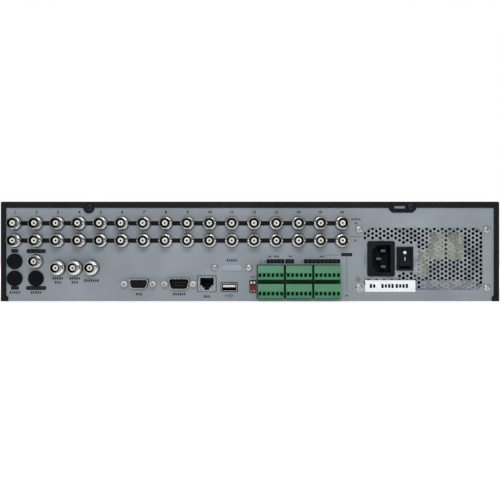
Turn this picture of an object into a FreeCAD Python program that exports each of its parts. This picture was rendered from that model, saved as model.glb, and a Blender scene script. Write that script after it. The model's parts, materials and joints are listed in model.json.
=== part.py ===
"""Sixteen-channel digital video recorder, two rack units high, as an assembly of separate pieces.

Millimetres. The front fascia faces -Y and the connector panel faces +Y. Z is up. The origin is the centre
of the flat base. Places on the connector panel are worked out from the distance `u` from its +X edge,
which is the left edge for someone looking at the connectors.
"""

import FreeCAD
import Part
import math
import os

from FreeCAD import Vector

TINY = 0.01                        # how near an edge lies to the plane it is picked by

# ---------------------------------------------------------------- overall case
WIDTH = 440.0
HEIGHT = 88.0
DEPTH = 390.0                      # fascia front to the cover's rear lip
FASCIA_DEPTH = 25.0
COVER_T = 1.0
CHASSIS_T = 1.2
LID_GAP = 0.2                      # between the panel's top edge and the cover
BEND_R = 1.5                       # outside radius of a folded steel edge
PANEL_BEND_R = 0.8
FLANGE = 12.0                      # how far folded flanges reach inwards

REAR = DEPTH / 2
FRONT = -DEPTH / 2
CASE_FRONT = FRONT + FASCIA_DEPTH
INNER_X = WIDTH / 2 - COVER_T      # inside face of the cover's sides
PANEL_Y = REAR - COVER_T           # outer face of the connector panel
PANEL_BACK = PANEL_Y - CHASSIS_T   # its inner face
FLOOR = CHASSIS_T                  # top face of the base sheet

# ---------------------------------------------------------------- cover
LIP_TOP = 5.5
LIP_SIDE = 4.7
LIP_FOOT = 6.4                     # the side lips widen at their lower end
LIP_FOOT_H = 3.8
LIP_FOOT_RAMP = 1.5
ROUND_TAB_U = 77.7
ROUND_TAB_R = 4.9
WIDE_TAB_U = (342.6, 366.7)
WIDE_TAB_DROP = 4.2                # below the top lip
WIDE_TAB_CHAMFER = 3.0
LOCK_SLOT = (9.7, 2.2)
LOCK_SLOT_U = 352.2
TAB_SCREW_U = 362.0
TAB_SCREW_RISE = 0.9               # its centre above the lip's lower edge
LOCK_SLOT_DROP = 0.4               # the slot's centre below the screw's
SIDE_SCREW_Y = (-148.0, 60.0, 168.0)
SIDE_SCREW_LENGTH = 4.0
SIDE_HEAD_R = 2.45
SIDE_SCREW_Z = 8.0
VENT_SLOT = (3.2, 24.0)
VENT_PITCH = 7.0
VENT_COUNT = 11
VENT_Y = -5.0
VENT_ROWS_Z = (29.0, 59.0)
EAR_HOLE_R = 2.25
EAR_HOLE_Y = (-152.0, -122.0)
EAR_HOLE_Z = (24.0, 64.0)

# ---------------------------------------------------------------- base chassis
BASE_FLANGE_H = 14.0
GUSSET_END = -104.0                # the tall front part of the side flanges stops here
FOOT_HOLE_R = 1.65
FOOT_HOLE_X = 190.0
FOOT_HOLE_Y = 145.0
FLOOR_SLOT = (24.0, 3.0)
FLOOR_SLOT_X = (20.0, 55.0, 130.0, 165.0)
FLOOR_SLOT_Y = (-130.0, -118.0, -106.0, -70.0, -58.0, -46.0)
FRONT_SLOT_COUNT = 6
FRONT_SLOT_PITCH = 5.2
FRONT_SLOT_H = 3.0
LOOM_HOLE = (14.0, 10.0)

# ---------------------------------------------------------------- BNC sockets
BNC_FIRST_U = 12.4
# the steps from each column to the next, which drift a little along the panel
BNC_PITCHES = (18.93,) * 5 + (19.28,) * 3 + (19.55,) * 5 + (19.2,) * 2
BNC_ROWS_Z = (68.9, 53.6)
BNC_BASE_R = 6.2
BNC_BARREL_R = 4.85
BNC_BORE_R = 4.1
BNC_INSULATOR_R = 2.4
BNC_INSULATOR_SETBACK = 2.6
BNC_CONTACT_R = 0.95
BNC_CONTACT_BORE_R = 0.68
BNC_LENGTH = 12.8                  # from the panel's outer face
BNC_BASE_LENGTH = 2.3
BNC_BORE_DEPTH = 8.6
BNC_LUG_R = 1.0
BNC_LUG_REACH = 5.65
BNC_LUG_SETBACK = 5.0
BNC_HOLE_GAP = 0.3
HOUSING_W = 14.4
HOUSING_EDGE_R = 0.8
HOUSING_MARGIN = 7.6               # above and below the socket centres
HOUSING_DEPTH = 18.0

LOWER_ROWS_Z = (35.3, 20.2)        # the audio input square
AUDIO_U = (12.2, 31.0)
LINE_BASE_R = 7.0
LINE_HOLE_R = 7.35
LINE_U = (50.1, 65.1, 79.9)
LINE_Z = 29.6
PLUG_CAP_R = 6.9
PLUG_CAP_T = 2.4
PLUG_STEM_R = 5.9
PLUG_STEM_GAP = 0.2
PLUG_DOME = 1.0

# ---------------------------------------------------------------- small ports
DSUB_Z = 15.4
VGA_U = 121.9
SERIAL_U = 157.5
DSUB_SHELL = (16.9, 8.3)           # outside of the socket shell
SERIAL_SHELL = (18.6, 9.8)         # outside of the plug shell
DSUB_SLOPE = math.radians(10)
DSUB_T = 0.5
DSUB_CORNER = 1.4                  # how far the outline's corners are cut back
DSUB_INSERT_SETBACK = 0.5
DSUB_SOCKET_DEPTH = 3.0
DSUB_SCREW_DEPTH = 6.0
DSUB_REACH = 4.2                   # shell beyond the panel
DSUB_FLANGE = (31.0, 12.4, 0.8)
DSUB_HOLE_GAP = 0.4
DSUB_BODY_DEPTH = 13.0
JACKSCREW_SPACING = 25.0
JACKSCREW_AF = 5.0
JACKSCREW_LENGTH = 4.8
JACKSCREW_BORE_R = 1.3
SERIAL_PIN_R = 0.5
VGA_HOLE_R = 0.55
VGA_PITCH = (2.29, 1.98)
SERIAL_PITCH = (2.77, 2.84)
LAN_U = 181.9
LAN_Z = 15.4
LAN_SIZE = (16.0, 13.6)
LAN_HOLE_GAP = 0.5
LAN_DEPTH = 19.0
LAN_REACH = 0.8
LAN_MOUTH = (11.9, 6.8)
LAN_KEY = ((8.2, 1.8), (4.4, 2.2)) # width and height of each step below the mouth
LAN_LIP = 1.4                      # metal above the mouth
LAN_MOUTH_DEPTH = 14.0
USB_U = 201.6
USB_Z = 12.5
USB_SIZE = (13.6, 6.9)
USB_T = 0.4
USB_DEPTH = 14.0
USB_REACH = 0.8
USB_TONGUE = (11.0, 1.9)
USB_TONGUE_RISE = 0.9
USB_HOLE_GAP = 0.8
BLANK_U = 203.9
BLANK_Z = 29.6
BLANK_HOLE = (14.2, 17.6, 6.6)     # width at the top, at the bottom, and height
BLANK_PLATE = (38.0, 13.0, 0.8)
BLANK_SCREW_SPACING = 30.2
DIP_U = 222.5
DIP_Z = 13.2
DIP_SIZE = (5.6, 11.0)
DIP_REACH = 1.2
DIP_DEPTH = 7.0
DIP_SLOT = (1.6, 4.6)
DIP_SLOT_DEPTH = 1.6
DIP_SLOT_RISE = 2.2                # slot centres above the switch's centre
DIP_SLIDER = 1.3
DIP_PITCH = 2.54
DIP_PROUD = 0.5
DIP_TRAVEL = 2.4
DIP_CLEAR = 0.15

# ---------------------------------------------------------------- terminal strips
POLES = 6
POLE_PITCH = 3.81
STRIP_U = 226.0
STRIP_PITCH = 24.75
STRIP_GAP = 0.5                    # between neighbouring headers
STRIP_HOLE_GAP = 0.1
STRIP_COLUMNS = 3
STRIP_TOP_Z = 32.3
STRIP_BOTTOM_Z = 2.6
STRIP_LEVEL = 16.2
STRIP_REACH = 2.2                  # header beyond the panel
STRIP_BACK = 18.0
PLUG_H = 12.2
PLUG_TOP_Z = 31.7
PLUG_REACH = 10.4                  # plug beyond the panel
PLUG_SEAT = 8.0                    # plug behind the panel's outer face
PLUG_CLEAR = 0.15
PLUG_SIDE = 0.75                   # header wall beside a plug
PLUG_STEP = 6.0                    # height of the lower, upright part of its face
PLUG_SLOPE = 1.6                   # how far the plug's upper half leans back
WIRE_HOLE = (2.5, 3.2)
WIRE_HOLE_DEPTH = 9.0
WIRE_HOLE_RISE = 3.9               # hole centres above the plug's underside
CLAMP_WELL_R = 1.35
CLAMP_WELL_DEPTH = 3.0
HEADER_PIN = 1.0
PIN_CLEAR = 0.2

# ---------------------------------------------------------------- power supply
PSU_SIZE = (125.0, 100.0, 63.5)
PSU_T = 0.8
PSU_CENTRE_U = 372.8
PSU_CENTRE_Z = 37.6
PSU_HOLES = (113.0, 51.5)
PSU_WINDOW_U = (320.6, 425.4)
PSU_WINDOW_Z = (10.1, 64.9)
PSU_WINDOW_R = 4.0
VENT_R = 1.36
VENT_STEP = 3.95
VENT_INSET = 1.0                   # first column and top row, inside the window's edges
VENT_MARGIN = 1.0                  # metal kept round the inlet and the switch
INLET_U = 335.8
INLET_FLANGE = (24.2, 31.2, 2.5)
INLET_BODY = (20.0, 27.6, 21.0)
INLET_MOUTH = (16.4, 24.2, 16.0)
INLET_BEVEL = 4.6
INLET_PIN = (4.0, 2.0)
INLET_PIN_SPREAD = 7.0
INLET_PIN_OFFSET = 2.0
INLET_PIN_SHORT = 2.5              # pin tips below the flange face
INLET_EARTH_LEAD = 0.8             # the earth pin is this much longer
INLET_FLANGE_BEVEL = 1.2
SWITCH_U = 356.9
SWITCH_FLANGE = (14.6, 21.0, 2.0)
SWITCH_BODY = (12.8, 19.0, 15.0)
SWITCH_OPENING = (10.6, 17.2)
SWITCH_FLOOR = 3.0
SWITCH_PIN_GRIP = 0.5              # how far the pivot pin enters each wall
ROCKER_W = 10.0
ROCKER_HALF = 7.5
ROCKER_RISE = 4.6                  # ends of the rocker's face above its pivot
ROCKER_DIP = 3.2                   # middle of its face above the pivot
ROCKER_FOOT = 3.0
ROCKER_DROP = 3.5
ROCKER_TILT = 12.0
ROCKER_PIVOT_BACK = 4.3            # pivot below the flange face
PIVOT_R = 1.2
RUN_CLEAR = 0.06                   # radial clearance of a turning fit
LABEL_U = (321.6, 366.2)
LABEL_Z = (8.4, 18.6)
LABEL_T = 0.15
RAIL_W = 10.0
RAIL_X_INSET = 16.0
PSU_BOARD_RISE = 6.0
PSU_BOARD_T = 1.6
PSU_FAN = (60.0, 20.0)

# ---------------------------------------------------------------- screws
HEAD_R = 3.1
HEAD_H = 1.9
HEAD_ROUND = 0.6                   # edge radius as a share of the head's height
SHANK_R = 1.45
SHANK_HOLE_R = 1.55
SCREW_LENGTH = 6.0
COVER_HEAD_R = 3.6
COVER_HEAD_H = 2.2
COVER_SCREW_R = 1.9
CROSS = (3.0, 0.8, 1.0)            # recess length, width and depth
GROUND_HEAD_R = 4.3
GROUND_HEAD_H = 2.4
WASHER_T = 0.8
WASHER_TEETH = 14
WASHER_TOOTH = 0.7
DRIVE_HEAD = (2.6, 1.6)            # radius and height of the drive screws' heads
HOLE_CLEAR = 0.1
SINK_CLEAR = 0.05

# ---------------------------------------------------------------- boards and drives
BOARD_TOP = 8.6
BOARD_T = 1.6
BOARD_X = (WIDTH / 2 - 304.0, WIDTH / 2 - 7.0)
BOARD_Y = (REAR - 191.0, REAR - 11.0)
SATA_Y = (38.0, 72.0)                # front faces of the drive headers, lower and upper drives
STANDOFF_R = 2.6
STANDOFF_PITCH_X = 140.5
STANDOFF_PITCH_Y = 78.0
VIDEO_BOARD_Z = (42.0, 80.0)
VIDEO_BOARD_DROP = 12.0            # its lower edge behind the audio sockets
VIDEO_BOARD_U = (2.6, 309.0)
VIDEO_BOARD_STEP_U = 92.0
DRIVE = (101.6, 147.0, 26.1)
DRIVE_GAP = 4.0
DRIVE_SCREW_RISE = 6.4
DRIVE_SCREW_Y = (CASE_FRONT + 22.0, CASE_FRONT + 122.0)
DRIVE_LID_T = 1.2
DRIVE_LID_INSET = 4.0
DRIVE_LID_REAR = 12.0
DRIVE_EDGE_R = 2.5
DRIVE_LID_R = 8.0
DRIVE_FLOOR = 8.0
CAGE_T = 1.0
CAGE_START_X = -18.0
CAGE_FOOT = 11.0
CAGE_WINDOW = (70.0, 16.0)
CAGE_WINDOW_Y = [CASE_FRONT + 30.0 + 28.0 * i for i in range(4)]
CAGE_Y = (CASE_FRONT + 6.0, CASE_FRONT + 154.0)
CASE_FAN = (80.0, 25.0)
CASE_FAN_Y = -5.0
CASE_FAN_Z = 44.0

# ---------------------------------------------------------------- fans
FAN_WALL = 1.6
FAN_TIP_GAP = 1.0
FAN_HUB = 0.24                     # hub radius as a share of the fan's side
FAN_BLADES = 7
FAN_PITCH = 38.0
FAN_SPOKE = 4.0
FAN_PLATE = 3.0
FAN_SHAFT_R = 1.5
FAN_SCREW_R = 1.6
FAN_CORNER_R = 3.0
FAN_SCREW_INSET = 3.84
FAN_FILL = 0.95                    # share of the free height that a blade takes
FAN_AIR = 0.6                      # rotor to motor plate
BLADE_T = 1.4

# ---------------------------------------------------------------- fascia
FASCIA_T = 2.5
FASCIA_R = 3.0
WINDOW_X = (-206.0, -66.0)
WINDOW_Z = (50.0, 74.0)
WINDOW_T = 1.5
WINDOW_LEDGE = 3.0
LED_X = (-190.0, -176.0, -162.0, -148.0, -134.0, -120.0)
LED_Z = 42.0
LED_R = 1.4
LED_CLEAR = 0.05
LED_PROUD = 0.2
POWER_X = -190.0
POWER_Z = 22.0
POWER_R = 8.0
FRONT_USB_X = -156.0
FRONT_USB_Z = 22.0
GRILLE_X = (-128.0, -10.0)
GRILLE_SLOT_H = 2.4
GRILLE_Z = 12.0
GRILLE_PITCH = 5.2
GRILLE_ROWS = 6
KEY_SIZE = (13.0, 8.0)
KEY_TRAVEL = 0.8
KEY_REACH = 1.6
KEY_GAP = 0.3
KEY_SKIRT = 1.0                    # how far the skirt reaches past the cap
KEY_SKIRT_T = 1.2
KEY_STEM_R = 1.8
KEY_EDGE_R = 0.7
NAV_X = 78.0
NAV_Z = 44.0
NAV_STEP = (18.0, 13.0)
MENU_X = 22.0
MENU_Z = (54.0, 34.0)
JOG_X = 162.0
JOG_Z = 44.0
JOG_R = 16.0
JOG_REACH = 12.0
SHUTTLE_R = 27.0
SHUTTLE_REACH = 7.0
SHUTTLE_NECK_R = 9.9
NECK_CLEAR = 0.08
DIMPLE_R = 6.0
JOG_SHAFT_R = 3.0
BUSH_R = 5.0
KEY_BOARD_Y = CASE_FRONT - 8.0     # front face of the key board
TACT = (6.0, 3.4)
KEY_BOARD_X = (-204.0, 204.0)
KEY_BOARD_Z = (8.0, 80.0)
KEY_PILLARS = ((-196.0, 14.0), (-196.0, 78.0), (196.0, 14.0), (196.0, 78.0))
DISPLAY = (64.0, 16.0, 5.0)
BOSS_X = 212.0
BOSS_Z = (10.0, 79.0)
BOSS_R = 3.4
SLEEVE_R = 5.3                     # bore of the shuttle's neck, round the bush
JOG_RECESS = 2.5
JOG_EDGE_R = 1.2
DIMPLE_DEPTH = 1.6
DIMPLE_PLACE = 0.55                # of the dial's radius
SHUTTLE_EDGE_R = 1.4
CLIP_T = 1.5
NECK_END = 3.0
JOG_GAP = 0.6
CLIP_R = 11.6

# ---- looms inside the case
LOOM_X = -33.0                     # from the key board, through the front wall
LOOM_Z = 65.0
LOOM_R = 2.0
LOOM_TURNS_Y = (-120.0, -60.0)
DATA_R = 1.8
POWER_LOOM_R = 2.0
DATA_Z = 13.0
DATA_HEADER = (12.0, 7.0)
HEADER_RISE = 4.0                  # connector tops above the cable's middle
DATA_OFFSET = (28.0, 18.0)         # from a drive's middle, lower and upper drive
POWER_OFFSET = (18.0, 28.0)
POWER_LEVELS = (36.0, 61.0)        # heights of the two lanes behind the drives
POWER_EXIT = (18.0, 6.0)           # from the power supply's +X side
POWER_TURN_Y = 48.0
POWER_LANE = 4.0
POWER_LANE_STEP = 8.0
LOOM_END = (-64.0, 60.0, 20.0)     # the main board's power header
POWER_HEADER = (14.0, 9.0, 5.0)
LINK_X = (8.0, 60.0)               # the plug to the video board, from that board's step
LINK_DEPTH = 9.0
LINK_TOP = 22.0
SETBACK = 0.45                     # arc tangent length as a share of the shorter run
KEY_LOOM_END = 12.0
KEY_LOOM_Z = 14.0

# ---- what stands on the boards
BOARD_CHIPS = (                    # middle x, middle y and size
    (-10.0, 120.0, (35.0, 35.0, 2.4)),
    (80.0, 50.0, (14.0, 20.0, 2.0)),
    (108.0, 58.0, (14.0, 20.0, 2.0)),
    (150.0, 100.0, (24.0, 24.0, 2.2)),
    (184.0, 100.0, (24.0, 24.0, 2.2)),
    (110.0, 140.0, (20.0, 14.0, 2.0)),
)
HEATSINK = (WIDTH / 2 - 150.0, REAR - 75.0, 40.0)
HEATSINK_H = (5.0, 20.0)           # top of the base and of the fins
CAPACITOR_X = WIDTH / 2 - 290.0
CAPACITOR_Y = REAR - 45.0
CAPACITOR = (4.0, 12.0, 0.6)       # radius, height and edge radius
CAPACITOR_PITCH = 14.0
CAPACITORS = 6
PSU_BOARD_END = REAR - 11.0
PSU_WINDING_Y = (REAR - 39.0, REAR - 15.0)
PSU_WINDINGS = (                   # u pair and top
    ((381.1, 395.3), 61.6),
    ((397.7, 412.8), 61.6),
    ((368.0, 380.2), 46.0),
)
PSU_BARRIER_U = (373.3, 422.3)
PSU_BARRIER_TOP = 18.2
PSU_BARRIER_T = 0.8
PSU_WINDING_R = 1.5
PSU_SINK_X = (WIDTH / 2 - 429.0, WIDTH / 2 - 340.0)
PSU_SINK_END = REAR - 30.0
PSU_SINK_TOP = 58.0
SINK_BACK_T = 2.5
FIN = (1.2, 4.0, 6.5)              # thickness, pitch and reach


# ================================================================ helpers
def at_u(u):
    """X of a point that is u from the connector panel's +X edge."""
    return WIDTH / 2 - u


def span(middle, size):
    """The (low, high) pair of a size centred on middle."""
    return (middle - size / 2, middle + size / 2)


def box(x, y, z):
    """A block between three (low, high) pairs."""
    return Part.makeBox(x[1] - x[0], y[1] - y[0], z[1] - z[0], Vector(x[0], y[0], z[0]))


def rod(radius, start, end):
    """A round bar from one point to another."""
    axis = Vector(*end) - Vector(*start)
    return Part.makeCylinder(radius, axis.Length, Vector(*start), axis)


def rod_y(radius, x, z, y):
    """A round bar along Y, at x and z, between the pair y."""
    return rod(radius, (x, y[0], z), (x, y[1], z))


def fuse(shapes):
    whole = shapes[0].fuse(list(shapes[1:]))
    return whole.removeSplitter()


def group(shapes):
    """Separate solids that share one node."""
    return Part.makeCompound([solid for shape in shapes for solid in shape.Solids])


def moved(shape, x=0.0, y=0.0, z=0.0):
    return shape.translated(Vector(x, y, z))


def aim(shape, point, direction):
    """Turns a shape so that its Z axis points along direction, and puts its origin at point."""
    shape = shape.copy()
    turn = FreeCAD.Rotation(Vector(0, 0, 1), Vector(*direction))
    shape.Placement = FreeCAD.Placement(Vector(*point), turn)
    return shape


def outline(points, y):
    """A closed wire through (x, z) points on the plane at y."""
    return Part.makePolygon([Vector(px, y, pz) for px, pz in list(points) + [points[0]]])


def rectangle(x, z):
    return [(x[0], z[0]), (x[1], z[0]), (x[1], z[1]), (x[0], z[1])]


def bevelled(x, z, cut):
    """A rectangle of (x, z) points with its four corners cut off."""
    return [
        (x[0] + cut, z[0]), (x[1] - cut, z[0]), (x[1], z[0] + cut), (x[1], z[1] - cut),
        (x[1] - cut, z[1]), (x[0] + cut, z[1]), (x[0], z[1] - cut), (x[0], z[0] + cut),
    ]


def ring(radius, x, z, y):
    """A circular wire on the plane at y."""
    return Part.Wire(Part.makeCircle(radius, Vector(x, y, z), Vector(0, 1, 0)))


def plate(points, y, holes=()):
    """A sheet across Y, between the pair y: an outline of (x, z) points, hole wires on its low face."""
    face = Part.makeFace([outline(points, y[0]), *holes], "Part::FaceMakerBullseye")
    return face.extrude(Vector(0, y[1] - y[0], 0))


def parallel_edges(shape, axis, keep=lambda edge: True):
    """The straight edges along an axis, out of those that keep accepts."""
    found = []
    for edge in shape.Edges:
        if edge.Curve.TypeId == "Part::GeomLine" and abs(edge.Curve.Direction.dot(axis)) > 0.999:
            if keep(edge):
                found.append(edge)
    return found


def rounded(shape, radius, axis, keep=lambda edge: True):
    """Fillets the edges along an axis."""
    return shape.makeFillet(radius, parallel_edges(shape, axis, keep))


ALONG_X = Vector(1, 0, 0)
ALONG_Y = Vector(0, 1, 0)
ALONG_Z = Vector(0, 0, 1)


def d_shape(width, height, x, z, cut=DSUB_CORNER):
    """The (x, z) points of a D-subminiature outline, wide side up."""
    lean = height * math.tan(DSUB_SLOPE)
    top = width / 2
    low = top - lean
    half = height / 2
    return [
        (x - low + cut, z - half), (x + low - cut, z - half), (x + low, z - half + cut),
        (x + top, z + half - cut), (x + top - cut, z + half), (x - top + cut, z + half),
        (x - top, z + half - cut), (x - low, z - half + cut),
    ]


def screw(head_r=HEAD_R, head_h=HEAD_H, shank_r=SHANK_R, length=SCREW_LENGTH):
    """A pan-head screw with a cross recess. Its seat is at the origin and its head points up Z."""
    head = Part.makeCylinder(head_r, head_h)
    head = head.makeFillet(head_h * HEAD_ROUND, [e for e in head.Edges if e.BoundBox.ZMin > head_h - TINY])
    shank = Part.makeCylinder(shank_r, length, Vector(0, 0, -length))
    long, wide, deep = CROSS
    arms = [
        Part.makeBox(long, wide, deep, Vector(-long / 2, -wide / 2, head_h - deep)),
        Part.makeBox(wide, long, deep, Vector(-wide / 2, -long / 2, head_h - deep)),
    ]
    return head.fuse(shank).removeSplitter().cut(arms)


def flat_screw(head_r, shank_r, length):
    """A countersunk screw, flush with the plane through the origin."""
    depth = head_r - shank_r
    head = Part.makeCone(shank_r, head_r, depth, Vector(0, 0, -depth))
    shank = Part.makeCylinder(shank_r, length, Vector(0, 0, -length))
    long, wide, deep = CROSS
    arms = [
        Part.makeBox(long, wide, deep, Vector(-long / 2, -wide / 2, -deep)),
        Part.makeBox(wide, long, deep, Vector(-wide / 2, -long / 2, -deep)),
    ]
    return head.fuse(shank).removeSplitter().cut(arms)


# ================================================================ places shared by several pieces
BNC_X = [at_u(BNC_FIRST_U + sum(BNC_PITCHES[:i])) for i in range(len(BNC_PITCHES) + 1)]
VIDEO_PLACES = [(x, z) for z in BNC_ROWS_Z for x in BNC_X]
AUDIO_SQUARE = [(at_u(u), z) for z in LOWER_ROWS_Z for u in AUDIO_U]
AUDIO_PLACE = AUDIO_SQUARE[1]
CAP_PLACES = [place for place in AUDIO_SQUARE if place != AUDIO_PLACE]
LINE_PLACES = [(at_u(u), LINE_Z) for u in LINE_U]
BNC_PLACES = VIDEO_PLACES + [AUDIO_PLACE] + LINE_PLACES

DSUB_X = (at_u(VGA_U), at_u(SERIAL_U))
JACKSCREW_X = [x + side * JACKSCREW_SPACING / 2 for x in DSUB_X for side in (-1, 1)]
BLANK_X = at_u(BLANK_U)
BLANK_SCREW_X = span(BLANK_X, BLANK_SCREW_SPACING)
DIP_X = at_u(DIP_U)
DIP_SLOT_X = span(DIP_X, DIP_PITCH)
DIP_SLOT_Z = DIP_Z + DIP_SLOT_RISE

PSU_X = at_u(PSU_CENTRE_U)
PSU_SPAN_X = span(PSU_X, PSU_SIZE[0])
PSU_SPAN_Y = (PANEL_BACK - PSU_SIZE[1], PANEL_BACK)
PSU_SPAN_Z = span(PSU_CENTRE_Z, PSU_SIZE[2])
PSU_SCREWS = [(x, z) for x in span(PSU_X, PSU_HOLES[0]) for z in span(PSU_CENTRE_Z, PSU_HOLES[1])]
GROUND_PLACE = (PSU_X + PSU_HOLES[0] / 2, PSU_CENTRE_Z - PSU_HOLES[1] / 2)
WINDOW_SPAN_X = (at_u(PSU_WINDOW_U[1]), at_u(PSU_WINDOW_U[0]))
INLET_X = at_u(INLET_U)
SWITCH_X = at_u(SWITCH_U)
PIVOT_Y = PANEL_BACK + SWITCH_FLANGE[2] - ROCKER_PIVOT_BACK

ROUND_TAB_X = at_u(ROUND_TAB_U)
TAB_SCREW_X = at_u(TAB_SCREW_U)
LIP_BOTTOM_Z = HEIGHT - LIP_TOP
TAB_SCREW_Z = LIP_BOTTOM_Z + TAB_SCREW_RISE
STANDOFFS = [
    (BOARD_X[0] + 8 + STANDOFF_PITCH_X * i, BOARD_Y[0] + 8 + STANDOFF_PITCH_Y * j)
    for i in range(3)
    for j in range(3)
]


def strip_x(column):
    """The (low, high) X pair of one terminal header, columns counted from the +X side."""
    left = at_u(STRIP_U + STRIP_PITCH * column)
    return (left - STRIP_PITCH + STRIP_GAP, left)


def plug_box(column, level):
    """The space of one terminal plug, as three pairs. Level 0 is the upper row."""
    x = strip_x(column)
    top = PLUG_TOP_Z - STRIP_LEVEL * level
    return (
        (x[0] + PLUG_SIDE, x[1] - PLUG_SIDE),
        (PANEL_Y - PLUG_SEAT, PANEL_Y + PLUG_REACH),
        (top - PLUG_H, top),
    )


def pole_x(column):
    """The middle of each pole of one terminal plug."""
    middle = sum(strip_x(column)) / 2
    return [middle + POLE_PITCH * (i - (POLES - 1) / 2) for i in range(POLES)]


FASCIA_BOSSES = [(side * BOSS_X, z) for side in (-1, 1) for z in BOSS_Z]
CASE_FAN_X = -(INNER_X - CHASSIS_T - LID_GAP) + CASE_FAN[1] / 2


# ================================================================ enclosure
def side_vents(side):
    """Cutters for the two rows of vent slots in one side of the cover."""
    x = (side * WIDTH / 2 - 2, side * WIDTH / 2 + 2)
    start = VENT_Y - VENT_PITCH * (VENT_COUNT - 1) / 2
    return [
        box(x, span(start + VENT_PITCH * i, VENT_SLOT[0]), span(z, VENT_SLOT[1]))
        for z in VENT_ROWS_Z
        for i in range(VENT_COUNT)
    ]


def side_holes(side, radius, places):
    """Cutters along X through one side wall, at (y, z) places."""
    x = side * WIDTH / 2
    return [rod(radius, (x - 8, y, z), (x + 8, y, z)) for y, z in places]


EAR_PLACES = [(y, z) for y in EAR_HOLE_Y for z in EAR_HOLE_Z]
SIDE_SCREW_PLACES = [(y, SIDE_SCREW_Z) for y in SIDE_SCREW_Y]


def lip_window():
    """The opening that the cover's rear lips leave, with its two tabs."""
    half = WIDTH / 2 - LIP_SIDE
    foot = WIDTH / 2 - LIP_FOOT
    low = -2.0
    tab_low = LIP_BOTTOM_Z - WIDE_TAB_DROP
    tab = (at_u(WIDE_TAB_U[1]), at_u(WIDE_TAB_U[0]))
    points = [
        (-foot, low), (foot, low), (foot, LIP_FOOT_H), (half, LIP_FOOT_H + LIP_FOOT_RAMP),
        (half, LIP_BOTTOM_Z), (tab[1], LIP_BOTTOM_Z), (tab[1], tab_low + WIDE_TAB_CHAMFER),
        (tab[1] - WIDE_TAB_CHAMFER, tab_low), (tab[0] + WIDE_TAB_CHAMFER, tab_low),
        (tab[0], tab_low + WIDE_TAB_CHAMFER), (tab[0], LIP_BOTTOM_Z), (-half, LIP_BOTTOM_Z),
        (-half, LIP_FOOT_H + LIP_FOOT_RAMP), (-foot, LIP_FOOT_H),
    ]
    window = plate(points, (PANEL_Y - 0.5, REAR + 1))
    return window.cut(rod_y(ROUND_TAB_R, ROUND_TAB_X, LIP_BOTTOM_Z, (PANEL_Y - 1, REAR + 2)))


def top_cover():
    half = WIDTH / 2
    outer = box((-half, half), (CASE_FRONT, REAR), (0, HEIGHT))
    outer = rounded(outer, BEND_R, ALONG_Y, lambda e: e.BoundBox.ZMin > HEIGHT - 1)
    inner = box((-INNER_X, INNER_X), (CASE_FRONT - 1, PANEL_Y), (-1, HEIGHT - COVER_T))
    through = (PANEL_Y - 1, REAR + 1)
    slot_x = span(at_u(LOCK_SLOT_U), LOCK_SLOT[0])
    cutters = [
        inner,
        lip_window(),
        rod_y(SHANK_HOLE_R, TAB_SCREW_X, TAB_SCREW_Z, through),
        rod_y(COVER_SCREW_R + HOLE_CLEAR, ROUND_TAB_X, LIP_BOTTOM_Z, through),
        box(slot_x, through, span(TAB_SCREW_Z - LOCK_SLOT_DROP, LOCK_SLOT[1])),
    ]
    sink = SIDE_HEAD_R - SHANK_R
    for side in (-1, 1):
        cutters += side_vents(side)
        cutters += side_holes(side, EAR_HOLE_R, EAR_PLACES)
        cutters += side_holes(side, SHANK_HOLE_R, SIDE_SCREW_PLACES)
        for y, z in SIDE_SCREW_PLACES:
            cone = Part.makeCone(SHANK_R + SINK_CLEAR, SIDE_HEAD_R + SINK_CLEAR, sink, Vector(0, 0, -sink))
            cutters.append(aim(cone, (side * half, y, z), (side, 0, 0)))
    return outer.cut(cutters)


def floor_slots():
    """Cooling slots in the base sheet below the drives."""
    return [
        box(span(x, FLOOR_SLOT[0]), span(y, FLOOR_SLOT[1]), (-1, FLOOR + 1))
        for x in FLOOR_SLOT_X
        for y in FLOOR_SLOT_Y
    ]


def front_wall():
    """The upright sheet behind the fascia, with its air slots, cable hole and top flange."""
    y = (CASE_FRONT, CASE_FRONT + CHASSIS_T)
    holes = [
        outline(rectangle(GRILLE_X, span(GRILLE_Z + FRONT_SLOT_PITCH * i, FRONT_SLOT_H)), y[0])
        for i in range(FRONT_SLOT_COUNT)
    ]
    holes.append(outline(rectangle(span(LOOM_X, LOOM_HOLE[0]), span(LOOM_Z, LOOM_HOLE[1])), y[0]))
    holes += [ring(SHANK_HOLE_R, x, z, y[0]) for x, z in FASCIA_BOSSES]
    top = HEIGHT - COVER_T - LID_GAP
    wall = plate(rectangle((-INNER_X, INNER_X), (FLOOR, top)), y, holes)
    flange = box((3 - INNER_X, INNER_X - 3), (y[1], y[1] + FLANGE), (top - CHASSIS_T, top))
    return fuse([wall, flange])


def fan_bracket():
    """The upright plate that carries the side fan."""
    side = CASE_FAN[0]
    x = (CASE_FAN_X + CASE_FAN[1] / 2, CASE_FAN_X + CASE_FAN[1] / 2 + CHASSIS_T)
    sheet = box(x, span(CASE_FAN_Y, side + 4), (FLOOR, CASE_FAN_Z + side / 2))
    ends = [(end_x, CASE_FAN_Y, CASE_FAN_Z) for end_x in (x[0] - 1, x[1] + 1)]
    mouth = rod(side / 2 - FAN_WALL, *ends)
    foot = box((x[0], x[1] + FLANGE), span(CASE_FAN_Y, side + 4), (FLOOR, FLOOR + CHASSIS_T))
    return fuse([sheet.cut(mouth), foot])


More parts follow.
